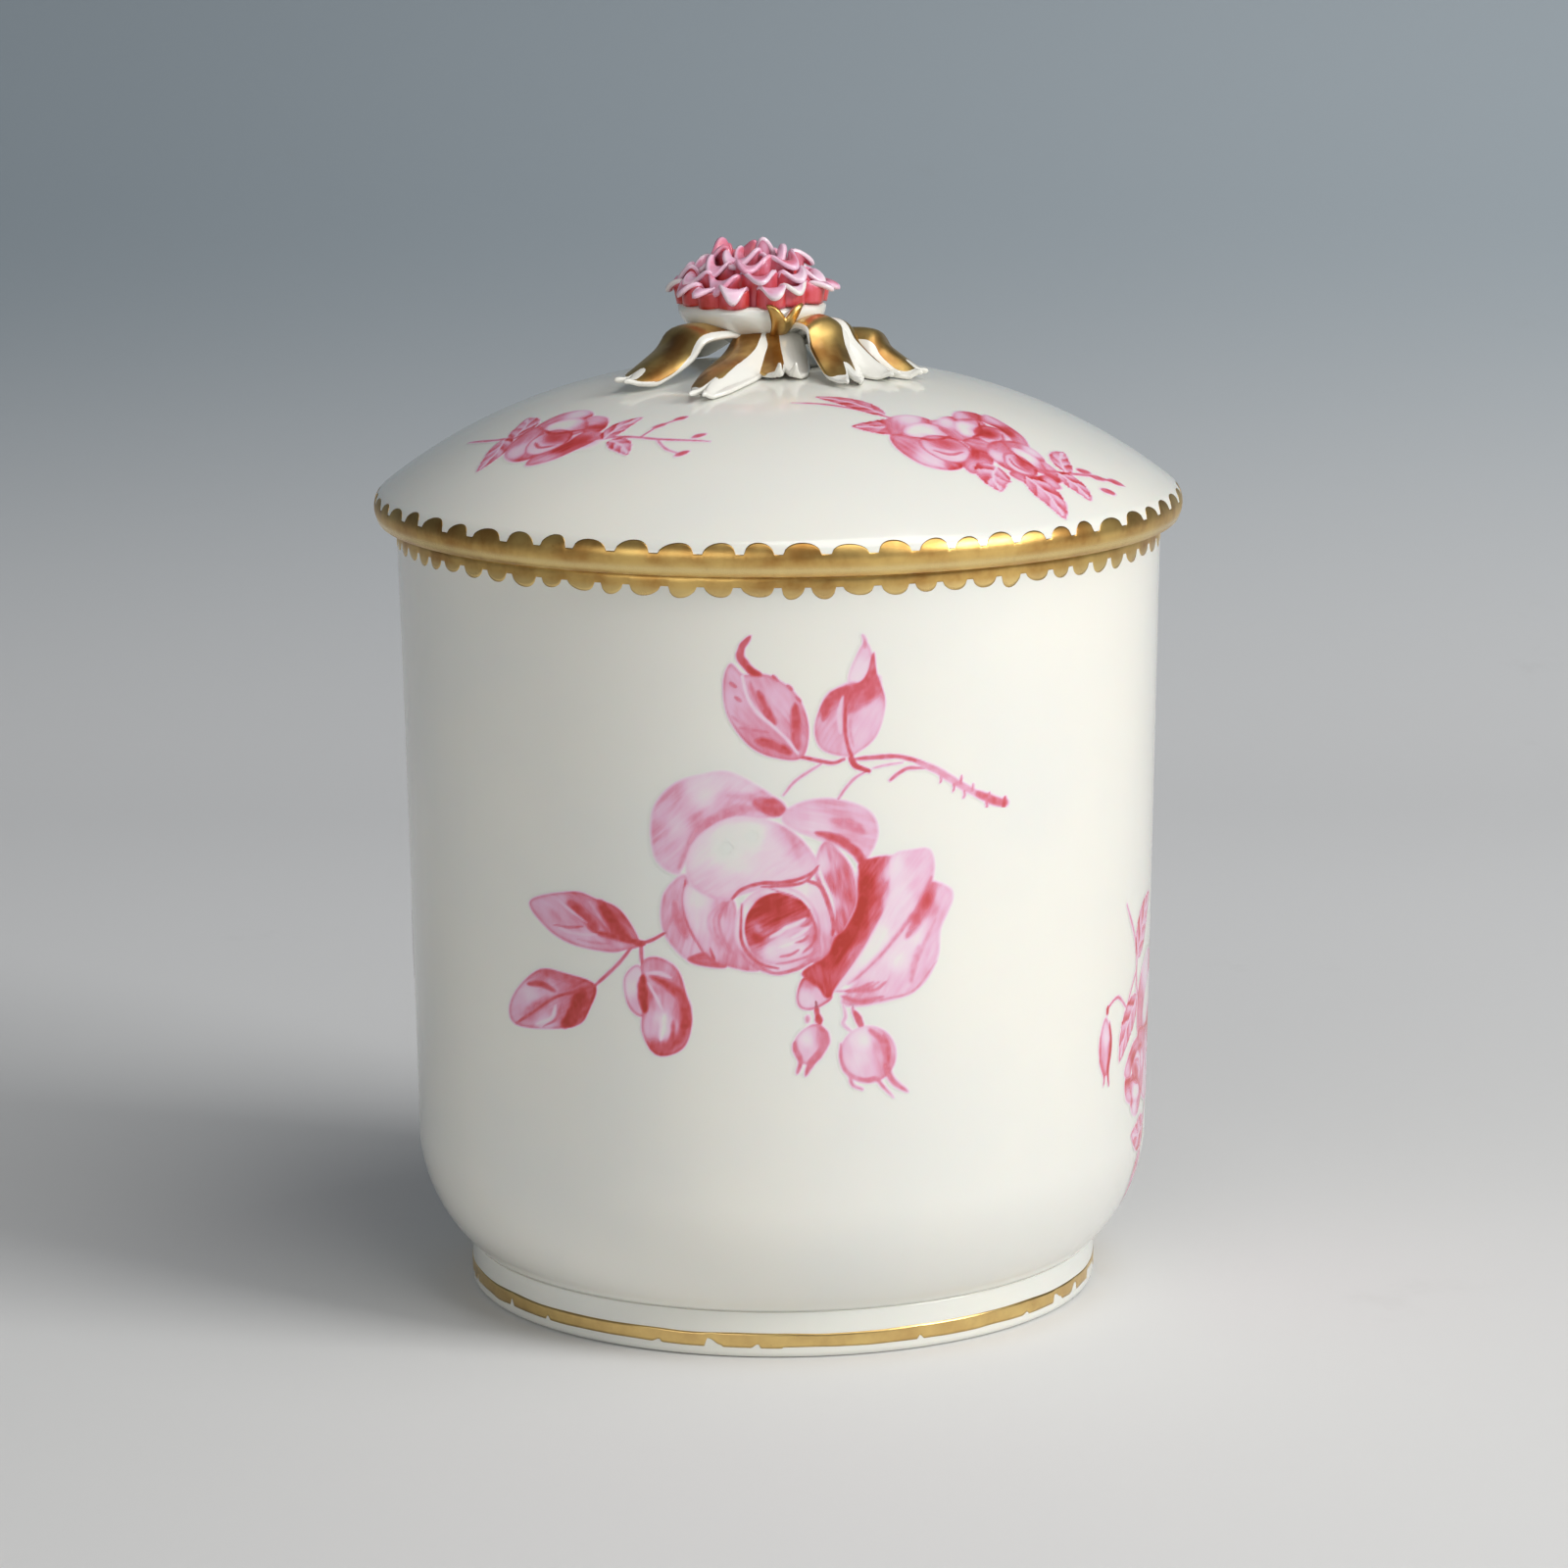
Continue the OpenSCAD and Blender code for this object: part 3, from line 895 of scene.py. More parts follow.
def paintBloom():
    c = Canvas((-12.5, 31.0), (16.0, 54.0), 0.12, 100)
    # petals behind, upper left and upper right
    c.wash([(-10.4, 44.9), (-10.6, 48.7), (-9.0, 51.0), (-6.5, 52.0), (-3.6, 52.0),
            (0.5, 49.1), (-1.3, 48.2), (-4.3, 48.2), (-7.7, 45.1), (-8.5, 43.5)],
           [(-10.0, 47.0, 0.38), (-9.0, 50.4, 0.36), (-8.3, 47.6, 0.14), (-6.3, 50.3, 0.06),
            (-3.0, 51.2, 0.16), (-6.8, 47.8, 0.42), (-4.3, 49.3, 0.34), (-1.2, 50.0, 0.34),
            (-8.6, 44.6, 0.25), (-6.5, 51.6, 0.12)], 0.05, 40, 0.3, 0.22)
    c.stroke([(-8.4, 44.0), (-7.3, 46.2), (-5.6, 48.0), (-3.4, 49.0), (-1.4, 49.0)], 0.9, 0.47,
             strength=0.8, soft=0.3)
    c.stroke([(-4.4, 50.2), (-2.4, 50.0), (-0.8, 49.6)], 0.7, 0.4, strength=0.7, soft=0.25)
    c.stroke([(-1.9, 49.6), (-0.5, 49.2), (0.4, 48.8)], 1.3, 0.7, (0.5, 0.3), 0.3, 0.95)
    c.stroke([(-1.2, 48.9), (-0.2, 48.6)], 0.8, 0.78, (0.6, 0.6), 0.2, 0.7)
    c.wash([(0.3, 48.7), (2.2, 49.7), (4.7, 49.8), (7.4, 48.8), (8.1, 46.7), (6.8, 44.4),
            (5.1, 45.6), (0.8, 47.4)],
           [(1.6, 48.5, 0.3), (4.0, 49.3, 0.36), (6.8, 48.6, 0.28), (3.2, 47.8, 0.18),
            (5.6, 47.3, 0.42), (7.6, 47.0, 0.32), (1.4, 47.6, 0.2)], 0.06, -10, 0.25, 0.2)
    c.stroke([(4.1, 48.0), (5.8, 47.7), (7.0, 46.9)], 0.9, 0.5, strength=0.8, soft=0.25)
    c.stroke([(2.9, 47.0), (4.6, 46.5), (6.0, 45.6), (7.0, 44.3)], 0.75, 0.72, (0.1, 0.9), 0.2)
    # petals at the lower left
    c.wash([(-8.3, 43.4), (-9.8, 41.6), (-9.8, 38.5), (-7.7, 36.0), (-6.1, 36.2),
            (-7.7, 40.0), (-7.6, 42.9)],
           [(-9.5, 41.0, 0.38), (-9.0, 38.5, 0.36), (-8.2, 41.6, 0.32), (-8.3, 39.4, 0.46),
            (-7.2, 37.0, 0.3), (-8.6, 42.8, 0.3)], 0.1, 75, 0.3, 0.18)
    c.stroke([(-8.9, 41.2), (-8.5, 39.6), (-7.8, 38.0)], 0.7, 0.55, strength=0.8, soft=0.25)
    c.stroke([(-7.9, 43.0), (-8.1, 40.9), (-7.6, 39.0), (-6.9, 37.6), (-6.3, 36.5)], 0.28, 0.7)
    c.wash([(-7.8, 36.2), (-6.4, 35.6), (-4.6, 35.5), (-5.1, 36.4), (-6.5, 36.8)],
           [(-6.2, 36.1, 0.6)], 0.1, 10, 0.3, 0.15)
    c.wash([(-7.8, 42.6), (-8.0, 40.2), (-6.4, 36.8), (-4.5, 35.6), (-1.8, 35.3),
            (-3.6, 38.0), (-3.8, 41.1), (-5.7, 42.0)],
           [(-6.6, 41.2, 0.05), (-7.0, 39.4, 0.14), (-5.8, 39.6, 0.14), (-5.0, 37.4, 0.36),
            (-3.6, 36.4, 0.42), (-4.9, 40.6, 0.4), (-6.0, 37.4, 0.26)], 0.12, 80, 0.3)
    for shift in (0.0, 0.42, 0.84):
        c.stroke([(-4.2 - shift * 0.9, 41.4 - shift * 0.5), (-5.1 - shift, 39.8),
                  (-4.9 - shift * 0.9, 38.2), (-4.0 - shift * 0.6, 36.7)], 0.34, 0.56 - shift * 0.2,
                 (0.1, 0.1), 0.16, 0.75)
    c.stroke([(-6.4, 36.8), (-5.6, 36.0), (-5.9, 37.2)], 0.3, 0.7)
    # wide petals on the right, dark where they tuck behind the heart
    c.wash([(6.6, 44.4), (9.0, 45.0), (9.8, 44.2), (9.0, 40.2), (6.5, 36.0), (4.0, 33.0),
            (2.6, 33.6), (3.0, 36.2), (5.4, 39.0), (6.5, 42.9)],
           [(6.9, 42.8, 0.88), (7.9, 44.4, 0.74), (9.4, 43.6, 0.22), (7.9, 41.2, 0.78),
            (8.9, 41.2, 0.3), (6.6, 39.2, 0.95), (7.9, 38.8, 0.46), (5.3, 37.4, 0.98),
            (6.4, 36.6, 0.5), (4.0, 36.2, 0.95), (4.9, 34.9, 0.6), (3.0, 34.9, 0.66),
            (3.9, 33.8, 0.7)], 0.0, 58, 0.3, 0.16)
    c.stroke([(6.8, 43.4), (6.9, 41.2), (6.0, 38.9), (4.6, 37.2), (3.5, 35.6), (3.4, 34.2)], 1.3,
             0.98, (0.35, 0.3), 0.5, 0.9)
    c.wash([(9.2, 44.8), (11.1, 45.5), (12.6, 45.3), (12.6, 42.6), (9.8, 38.1),
            (4.4, 33.2), (7.0, 37.2), (9.0, 41.4)],
           [(12.0, 44.6, 0.28), (10.9, 44.6, 0.24), (9.7, 44.0, 0.1), (10.0, 41.6, 0.12),
            (11.6, 42.2, 0.28), (9.6, 39.4, 0.16), (8.2, 38.4, 0.04), (7.4, 36.4, 0.03),
            (5.8, 34.8, 0.08)], 0.05, 58, 0.35, 0.16)
    c.stroke([(12.6, 43.1), (11.7, 40.9), (10.0, 38.4), (8.4, 36.4), (6.6, 34.7), (5.6, 34.0)],
             0.5, 0.52, (0.3, 0.1), 0.22, 0.85)
    c.wash([(12.5, 42.5), (14.1, 42.2), (14.4, 41.1), (13.4, 38.6), (13.1, 35.9),
            (11.2, 33.3), (6.7, 32.1), (5.1, 32.8), (8.6, 36.5), (11.1, 39.6)],
           [(13.6, 41.4, 0.26), (12.2, 40.8, 0.5), (12.9, 38.0, 0.26), (11.2, 38.0, 0.08),
            (9.8, 36.0, 0.06), (11.6, 35.0, 0.3), (9.2, 34.0, 0.26), (7.0, 33.2, 0.4),
            (12.6, 36.2, 0.26), (7.8, 34.8, 0.16)], 0.06, 60, 0.3, 0.2)
    c.stroke([(12.7, 42.4), (12.3, 41.2), (11.5, 39.4), (10.5, 37.9)], 0.85, 0.55, (0.7, 0.1), 0.3)
    c.blot((12.1, 41.0), (0.9, 0.5), 0.84, 65, 0.85)
    c.blot((11.2, 39.6), (0.5, 0.35), 0.7, 60, 0.8)
    c.stroke([(13.0, 39.6), (12.3, 38.0), (11.5, 36.2), (11.0, 34.2)], 0.38, 0.42, soft=0.16,
             strength=0.8)
    c.stroke([(11.6, 37.3), (11.2, 35.9), (10.9, 34.1)], 0.5, 0.45, (0.2, 0.6), 0.2, 0.7)
    c.stroke([(13.1, 35.9), (11.2, 33.4), (8.9, 32.7), (6.8, 32.3)], 0.24, 0.5, strength=0.7)
    for x in (0.0, 0.8, 1.7):
        c.stroke([(4.6 + x, 33.4), (6.2 + x, 33.5), (7.8 + x * 0.6, 34.2)], 0.3, 0.6, soft=0.14,
                 strength=0.7)
    c.stroke([(5.0, 33.0), (6.6, 32.5), (8.6, 32.9)], 0.4, 0.62, soft=0.16, strength=0.75)
    # the petal that wraps the heart on the right
    c.wash([(3.1, 45.3), (4.0, 46.2), (5.9, 44.0), (6.3, 40.9), (5.3, 38.7), (4.6, 38.5),
            (4.2, 41.0), (2.9, 43.1)],
           [(4.5, 45.0, 0.42), (3.4, 44.2, 0.14), (5.0, 43.2, 0.6), (5.6, 41.6, 0.6),
            (4.3, 42.6, 0.55), (5.2, 39.8, 0.52), (4.4, 41.0, 0.2)], 0.14, 100, 0.35, 0.14)
    c.stroke([(3.0, 44.6), (3.5, 43.0), (4.2, 41.3), (4.5, 39.6)], 0.34, 0.04, (0.2, 0.2), 0.12)
    c.stroke([(3.9, 46.1), (5.4, 44.8), (6.2, 43.1), (6.3, 40.9), (5.3, 38.7)], 0.16, 0.3,
             strength=0.8)
    # the round white petal in the middle
    c.wash([(-7.7, 45.1), (-6.6, 46.9), (-4.3, 48.2), (-1.0, 48.1), (1.6, 46.6),
            (3.2, 44.2), (2.2, 43.2), (-2.7, 41.9), (-4.9, 41.2), (-7.5, 42.7)],
           [(-4.5, 45.6, 0.0), (-2.2, 46.6, 0.0), (-6.6, 45.6, 0.08), (-0.4, 45.6, 0.1),
            (1.2, 45.6, 0.36), (0.6, 46.9, 0.28), (2.3, 44.6, 0.22), (-1.0, 43.6, 0.14),
            (-3.2, 42.7, 0.2), (-6.0, 42.8, 0.2), (-3.4, 44.1, 0.04), (0.9, 44.0, 0.14)],
           0.1, 35, 0.3, 0.16, 0.35)
    c.stroke([(0.3, 47.3), (1.3, 46.0), (1.5, 44.8)], 0.7, 0.44, (0.3, 0.2), 0.3, 0.75)
    c.stroke([(-6.0, 41.7), (-5.0, 41.4), (-3.9, 41.4)], 0.2, 0.32, strength=0.7)
    # a lip of pale lilac that shows between the heart and the petal on its right
    c.wash([(0.8, 42.7), (3.0, 42.8), (4.3, 40.6), (4.5, 38.4), (4.0, 36.7), (2.8, 35.9),
            (1.6, 36.6), (1.0, 39.6)],
           [(2.0, 42.2, 0.06), (3.2, 41.2, 0.16), (3.9, 39.4, 0.26), (3.6, 37.6, 0.4),
            (2.9, 36.6, 0.42)], 0.12, 100, 0.25, 0.14, 0.2)
    # the cup round the heart, its pale lip and the dark inside
    c.wash(oval((-0.3, 38.7), (3.6, 3.8)),
           [(-2.9, 40.4, 0.04), (-3.3, 38.6, 0.06), (2.0, 41.2, 0.05), (2.8, 39.4, 0.22),
            (3.0, 38.0, 0.34), (0, 36.0, 0.14), (-2.2, 36.4, 0.4), (1.8, 36.2, 0.26),
            (0.5, 38.0, 0.08)], 0.2, 80, 0.25, 0.14, 0.25)
    c.wash(oval((-0.1, 38.8), (2.9, 3.1)),
           [(-0.9, 41.0, 0.96), (-1.8, 39.8, 0.92), (0.4, 40.4, 0.86), (1.5, 40.2, 0.76),
            (-2.6, 38.6, 0.66), (-1.8, 37.9, 0.8), (-0.6, 39.3, 0.9), (0.6, 38.8, 0.3),
            (1.8, 38.8, 0.34), (0.4, 37.6, 0.06), (-0.9, 37.0, 0.08), (1.6, 37.2, 0.08),
            (-2.2, 36.6, 0.3), (2.4, 38.0, 0.4)], 0.12, 25, 0.35, 0.12, 0.25)
    c.blot((-0.8, 40.7), (1.3, 0.8), 1.0, -20, 0.8)
    c.blot((-2.0, 38.1), (0.7, 0.4), 0.9, -25, 0.85)
    c.blot((-1.9, 38.9), (0.35, 0.6), 0.2, 20, 0.5)
    for x, z, length in ((-0.9, 38.3, 1.5), (0.2, 39.0, 1.9), (0.9, 38.2, 1.4), (-0.2, 37.4, 2.2)):
        c.stroke([(x, z - 0.2), (x + length * 0.5, z + 0.15), (x + length, z + 0.7)], 0.34, 0.05,
                 (0.1, 0.3), 0.14, 0.85)
    for x, z, length in ((1.3, 39.9, 1.1), (1.7, 39.1, 0.9), (1.2, 37.7, 1.1), (-0.1, 36.5, 1.6)):
        c.stroke([(x, z - 0.1), (x + length * 0.6, z + 0.1), (x + length, z + 0.5)], 0.26, 0.66,
                 (0.2, 0.5), 0.12, 0.8)
    c.stroke([(-4.0, 41.4), (-3.2, 42.2), (-1.6, 42.7), (0.6, 42.8), (2.4, 43.4), (3.2, 44.2)],
             0.34, 0.66, (0.6, 0.1))
    c.stroke([(-1.6, 42.4), (0.4, 42.5), (2.0, 42.8), (3.1, 43.9)], 0.28, 0.62, (0.3, 0.1))
    c.stroke([(-1.0, 42.3), (0.4, 41.8), (1.6, 41.3)], 0.2, 0.5, soft=0.1)
    c.stroke([(2.2, 42.9), (3.3, 42.4), (4.0, 40.8), (4.4, 39.2), (4.3, 38.2)], 0.44, 0.64,
             (0.3, 0.3))
    c.stroke([(-3.2, 41.0), (-3.3, 39.4), (-3.3, 38.0), (-2.8, 36.8), (-1.7, 35.8), (-0.2, 35.4)],
             0.3, 0.68, (0.2, 0.5))
    c.stroke([(2.4, 40.2), (2.9, 38.9), (2.7, 37.6), (1.8, 36.7)], 0.3, 0.6, (0.3, 0.2))
    c.stroke([(-2.2, 35.9), (-0.6, 35.0), (1.2, 35.3), (2.6, 36.0), (3.4, 36.3)], 0.32, 0.56,
             (0.3, 0.3))
    c.stroke([(-0.4, 35.8), (0.9, 36.0), (2.4, 36.5), (3.3, 37.2)], 0.22, 0.5, (0.2, 0.3))
    # the small petal that hangs below, and the neck of the calyx
    c.wash([(1.9, 34.6), (1.3, 33.2), (1.5, 32.1), (2.4, 31.8), (3.5, 32.2), (4.3, 33.0),
            (3.0, 34.0)], [(2.1, 33.0, 0.14), (3.2, 33.4, 0.3), (2.4, 34.2, 0.5)],
           0.42, 70, 0.2, 0.12, 0.2)
    c.wash([(1.7, 34.9), (3.0, 35.8), (4.2, 34.6), (4.3, 33.2), (3.7, 32.9), (3.0, 34.0)],
           [(3.0, 34.9, 0.68), (3.9, 33.6, 0.76)], 0.1, 100, 0.3, 0.14)
    c.lift("rose_bloom", fromFront, "jar")


def paintLeftLeaves():
    c = Canvas((-24.2, 27.2), (-7.0, 43.0), 0.12, 200)
    c.stroke([(-11.7, 37.6), (-10.9, 37.8), (-9.6, 38.5)], 0.3, 0.72, (0.6, 0.8))
    c.stroke([(-12.5, 37.3), (-13.4, 36.1), (-14.6, 34.9), (-15.7, 33.9)], 0.32, 0.6, (0.7, 0.7))
    c.stroke([(-11.7, 37.6), (-11.7, 36.4), (-11.5, 35.2)], 0.34, 0.62, (0.7, 0.7))
    # the upper leaf
    c.wash([(-11.8, 37.6), (-13.4, 40.4), (-15.5, 41.4), (-17.5, 42.0), (-21.2, 41.2),
            (-20.0, 39.0), (-17.8, 37.5), (-14.6, 36.8), (-13.0, 37.0)],
           [(-20.2, 40.4, 0.34), (-18.6, 40.2, 0.4), (-19.0, 41.2, 0.3), (-17.2, 41.2, 0.5),
            (-15.6, 40.4, 0.52), (-14.0, 38.9, 0.7), (-18.2, 38.3, 0.34), (-15.6, 37.5, 0.32),
            (-13.2, 37.2, 0.42), (-16.5, 38.2, 0.26)], 0.22, -35, 0.2, 0.12, 0.2)
    c.stroke([(-17.7, 41.0), (-16.6, 40.0), (-15.9, 39.2), (-15.5, 38.5)], 1.0, 0.72,
             (0.5, 0.2), 0.25)
    c.stroke([(-15.1, 41.0), (-14.4, 39.9), (-13.6, 38.7), (-12.6, 37.7)], 0.95, 0.86,
             (0.6, 0.3), 0.22)
    c.stroke([(-16.1, 41.2), (-15.2, 39.8), (-14.3, 38.5)], 0.24, 0.36, strength=0.7)
    c.stroke([(-11.6, 37.6), (-13.2, 37.9), (-14.8, 38.3), (-15.6, 38.5)], 0.42, 0.84,
             (0.9, 0.1), 0.14)
    c.stroke([(-15.4, 38.3), (-16.8, 38.3), (-18.2, 38.6), (-19.2, 39.2)], 0.26, 0.2, soft=0.12)
    c.stroke([(-16.6, 39.0), (-17.8, 38.9), (-19.2, 39.1)], 0.2, 0.62)
    c.stroke([(-16.3, 39.3), (-17.6, 40.3), (-18.8, 41.3)], 0.22, 0.2, soft=0.12)
    c.stroke([(-14.2, 37.5), (-15.8, 37.6), (-17.2, 37.9)], 0.2, 0.48, strength=0.7)
    # the lower left leaf
    c.wash([(-15.7, 33.9), (-18.3, 34.9), (-20.5, 35.2), (-22.5, 33.6), (-23.4, 31.7),
            (-22.8, 30.3), (-20.0, 30.0), (-17.3, 30.4), (-16.3, 31.7)],
           [(-22.4, 32.6, 0.28), (-21.4, 32.8, 0.12), (-20.4, 34.6, 0.5), (-18.6, 34.3, 0.52),
            (-19.6, 33.4, 0.3), (-19.2, 32.0, 0.42), (-21.2, 31.2, 0.5), (-20.4, 30.6, 0.14),
            (-18.4, 31.2, 0.5), (-17.0, 32.6, 0.84)], 0.24, 30, 0.2, 0.12, 0.2)
    c.stroke([(-16.9, 33.3), (-17.3, 32.2), (-17.9, 30.9), (-18.4, 30.5)], 1.15, 0.95,
             (0.5, 0.7), 0.2)
    c.stroke([(-16.2, 33.2), (-16.6, 32.0), (-17.2, 30.9)], 0.5, 0.76, (0.5, 0.5), 0.2)
    c.stroke([(-20.4, 35.0), (-18.8, 34.6), (-17.2, 34.0)], 0.62, 0.62, (0.6, 0.2), 0.18)
    c.stroke([(-21.6, 33.9), (-20.4, 33.9), (-19.2, 33.3)], 0.5, 0.76, (0.3, 0.2), 0.16)
    c.stroke([(-19.5, 32.7), (-21.0, 31.9), (-22.0, 30.9)], 0.9, 0.52, (0.3, 0.3), 0.3)
    c.stroke([(-15.7, 33.9), (-17.4, 33.3), (-19.2, 32.8), (-21.0, 31.6), (-22.8, 30.4)], 0.26,
             0.76, (0.9, 0.4))
    c.stroke([(-19.2, 32.1), (-19.6, 31.0), (-21.0, 30.4)], 0.3, 0.08, soft=0.14)
    c.stroke([(-18.7, 32.2), (-19.2, 30.9), (-20.4, 30.2)], 0.2, 0.56, soft=0.1)
    # the leaf that hangs, with one edge turned over
    c.wash([(-12.0, 35.7), (-13.2, 34.6), (-13.0, 32.4), (-12.1, 31.3), (-11.3, 31.6),
            (-11.1, 34.0)],
           [(-12.6, 33.8, 0.06), (-12.3, 34.9, 0.14), (-12.0, 32.2, 0.3)], 0.36, 90, 0.2,
           0.11, 0.18)
    c.wash([(-11.7, 35.8), (-10.4, 36.4), (-8.7, 35.4), (-7.9, 33.0), (-7.5, 30.8),
            (-8.3, 28.5), (-10.5, 27.9), (-11.8, 30.0), (-11.5, 33.0)],
           [(-10.0, 35.3, 0.42), (-8.6, 34.2, 0.5), (-11.0, 34.4, 0.3), (-10.4, 32.6, 0.34),
            (-8.4, 31.4, 0.62), (-10.0, 31.0, 0.08), (-9.6, 30.0, 0.1), (-10.8, 30.4, 0.3),
            (-10.4, 28.4, 0.8), (-8.4, 29.4, 0.56), (-11.3, 33.0, 0.8)], 0.22, 80, 0.2, 0.12, 0.2)
    c.stroke([(-11.6, 34.8), (-11.7, 33.4), (-11.5, 31.8)], 0.75, 0.9, (0.3, 0.5), 0.18)
    c.stroke([(-10.9, 34.7), (-9.4, 33.9), (-8.3, 32.8), (-8.0, 31.2), (-8.5, 29.6), (-9.4, 28.5)],
             0.85, 0.78, (0.15, 0.4), 0.25)
    c.stroke([(-11.3, 35.0), (-10.2, 35.0), (-9.2, 34.6)], 0.3, 0.16, soft=0.14)
    c.stroke([(-11.2, 34.2), (-10.5, 32.9), (-10.0, 31.8)], 0.24, 0.14, soft=0.12)
    c.stroke([(-10.9, 28.6), (-10.0, 28.5), (-9.2, 29.4), (-9.1, 30.9)], 0.5, 0.7, (0.8, 0.1), 0.2)
    c.stroke([(-9.8, 31.4), (-9.9, 30.2), (-10.2, 29.2)], 0.5, 0.04, (0.4, 0.1), 0.2)
    c.stroke([(-12.2, 37.6), (-11.5, 37.5)], 0.5, 0.84, (0.6, 0.6))
    c.lift("left_leaves", fromFront, "jar")


def paintTopLeaves():
    c = Canvas((-5.2, 49.0), (20.0, 64.2), 0.12, 300)
    # stalks from the bloom, the main stem and its twig
    c.stroke([(3.4, 52.8), (2.3, 52.1), (1.2, 51.3), (0.3, 50.2)], 0.26, 0.42, (0.5, 0.8))
    c.stroke([(7.2, 52.2), (6.2, 51.6), (5.4, 50.7), (4.8, 49.8)], 0.26, 0.46, (0.5, 0.8))
    c.stroke([(12.0, 52.4), (10.6, 52.4), (9.7, 51.9), (9.1, 51.4)], 0.34, 0.55, (0.3, 0.8))
    c.stroke([(1.4, 53.5), (3.1, 53.1), (4.4, 52.9), (5.3, 53.2)], 0.34, 0.7, (0.8, 0.9))
    c.stroke([(6.1, 53.2), (7.5, 53.3), (9.8, 53.4), (11.8, 52.8), (13.4, 51.9)], 0.4, 0.62,
             (0.4, 0.9))
    c.stroke([(7.6, 52.4), (8.8, 52.7), (10.2, 52.9)], 0.2, 0.42, (0.3, 0.3))
    c.stroke([(11.4, 52.9), (13.0, 52.2), (14.8, 51.1), (16.6, 50.1), (18.4, 49.4)], 0.62, 0.4,
             (0.5, 1.0), 0.14)
    c.stroke([(16.6, 50.2), (17.6, 49.7), (18.7, 49.4)], 0.8, 0.62, (0.6, 0.95), 0.2, 0.9)
    c.stroke([(18.8, 49.9), (18.7, 49.2), (18.6, 48.7)], 0.3, 0.7, (0.7, 0.7))
    for x, z, rise in ((13.3, 51.6, -0.5), (14.4, 51.0, -0.65), (15.3, 50.4, -0.6),
                       (17.2, 49.4, -0.55), (15.0, 51.1, 0.7), (16.0, 50.5, 0.6),
                       (17.4, 49.9, 0.45)):
        c.stroke([(x, z), (x + 0.05, z + rise * 0.5), (x + 0.12 * rise, z + rise)], 0.22, 0.5,
                 (0.9, 0.3), 0.08)
    # the left leaf, with a curled tip
    c.wash([(1.9, 53.4), (2.4, 56.0), (1.4, 58.7), (-0.8, 60.3), (-2.8, 60.4), (-4.0, 61.3),
            (-4.6, 59.5), (-4.2, 56.8), (-2.4, 54.3), (-0.2, 53.3)],
           [(-4.0, 60.2, 0.34), (-3.9, 58.2, 0.28), (-3.4, 56.6, 0.34), (-1.9, 58.8, 0.44),
            (-0.4, 58.6, 0.3), (-1.6, 56.2, 0.34), (0.6, 57.4, 0.3), (1.6, 56.2, 0.5),
            (-1.2, 54.6, 0.5), (0.2, 55.8, 0.4), (-2.4, 55.4, 0.46)], 0.18, -55, 0.2, 0.12, 0.18)
    c.stroke([(-1.7, 58.9), (-1.2, 57.6), (-0.5, 56.3)], 0.75, 0.72, (0.3, 0.6), 0.2)
    c.stroke([(-2.4, 59.8), (-2.0, 58.6), (-1.3, 57.4)], 0.34, 0.56, (0.3, 0.3), 0.15)
    c.stroke([(1.3, 57.9), (1.3, 56.2), (1.4, 54.3)], 0.75, 0.7, (0.15, 0.8), 0.2)
    c.stroke([(-1.9, 54.8), (-0.7, 54.5), (0.8, 53.8)], 0.8, 0.74, (0.4, 0.5), 0.2)
    c.stroke([(-3.3, 55.9), (-2.2, 55.7), (-0.9, 55.5)], 0.28, 0.5, (0.4, 0.2), 0.1)
    c.stroke([(-3.9, 56.9), (-3.0, 56.2), (-1.8, 55.9)], 0.24, 0.42, (0.4, 0.2), 0.1)
    c.stroke([(-4.0, 59.7), (-3.5, 59.3)], 0.3, 0.6, (0.5, 0.3))
    c.stroke([(-3.6, 58.5), (-3.1, 58.1)], 0.3, 0.6, (0.5, 0.3))
    c.stroke([(1.5, 53.7), (0.6, 54.9), (-0.6, 56.1), (-1.8, 57.2), (-2.6, 58.5), (-3.0, 60.2)],
             0.26, 0.12, (0.6, 0.9), 0.1)
    c.stroke([(-3.2, 61.2), (-2.9, 60.6)], 0.5, 0.02, (0.8, 0.8), 0.12, 0.8)
    c.stroke([(-1.5, 60.3), (-2.4, 60.8), (-3.1, 61.8), (-3.0, 62.7), (-2.3, 63.6)], 0.72, 0.7,
             (0.4, 0.15), 0.12)
    c.stroke([(-1.6, 60.4), (-2.2, 60.6), (-2.7, 61.1)], 0.5, 0.8, (0.5, 0.3), 0.12)
    for x, z in ((0.9, 59.3), (1.6, 58.3), (-0.3, 60.1)):
        c.stroke([(x - 0.25, z + 0.2), (x + 0.2, z - 0.25)], 0.26, 0.62, (0.4, 0.4))
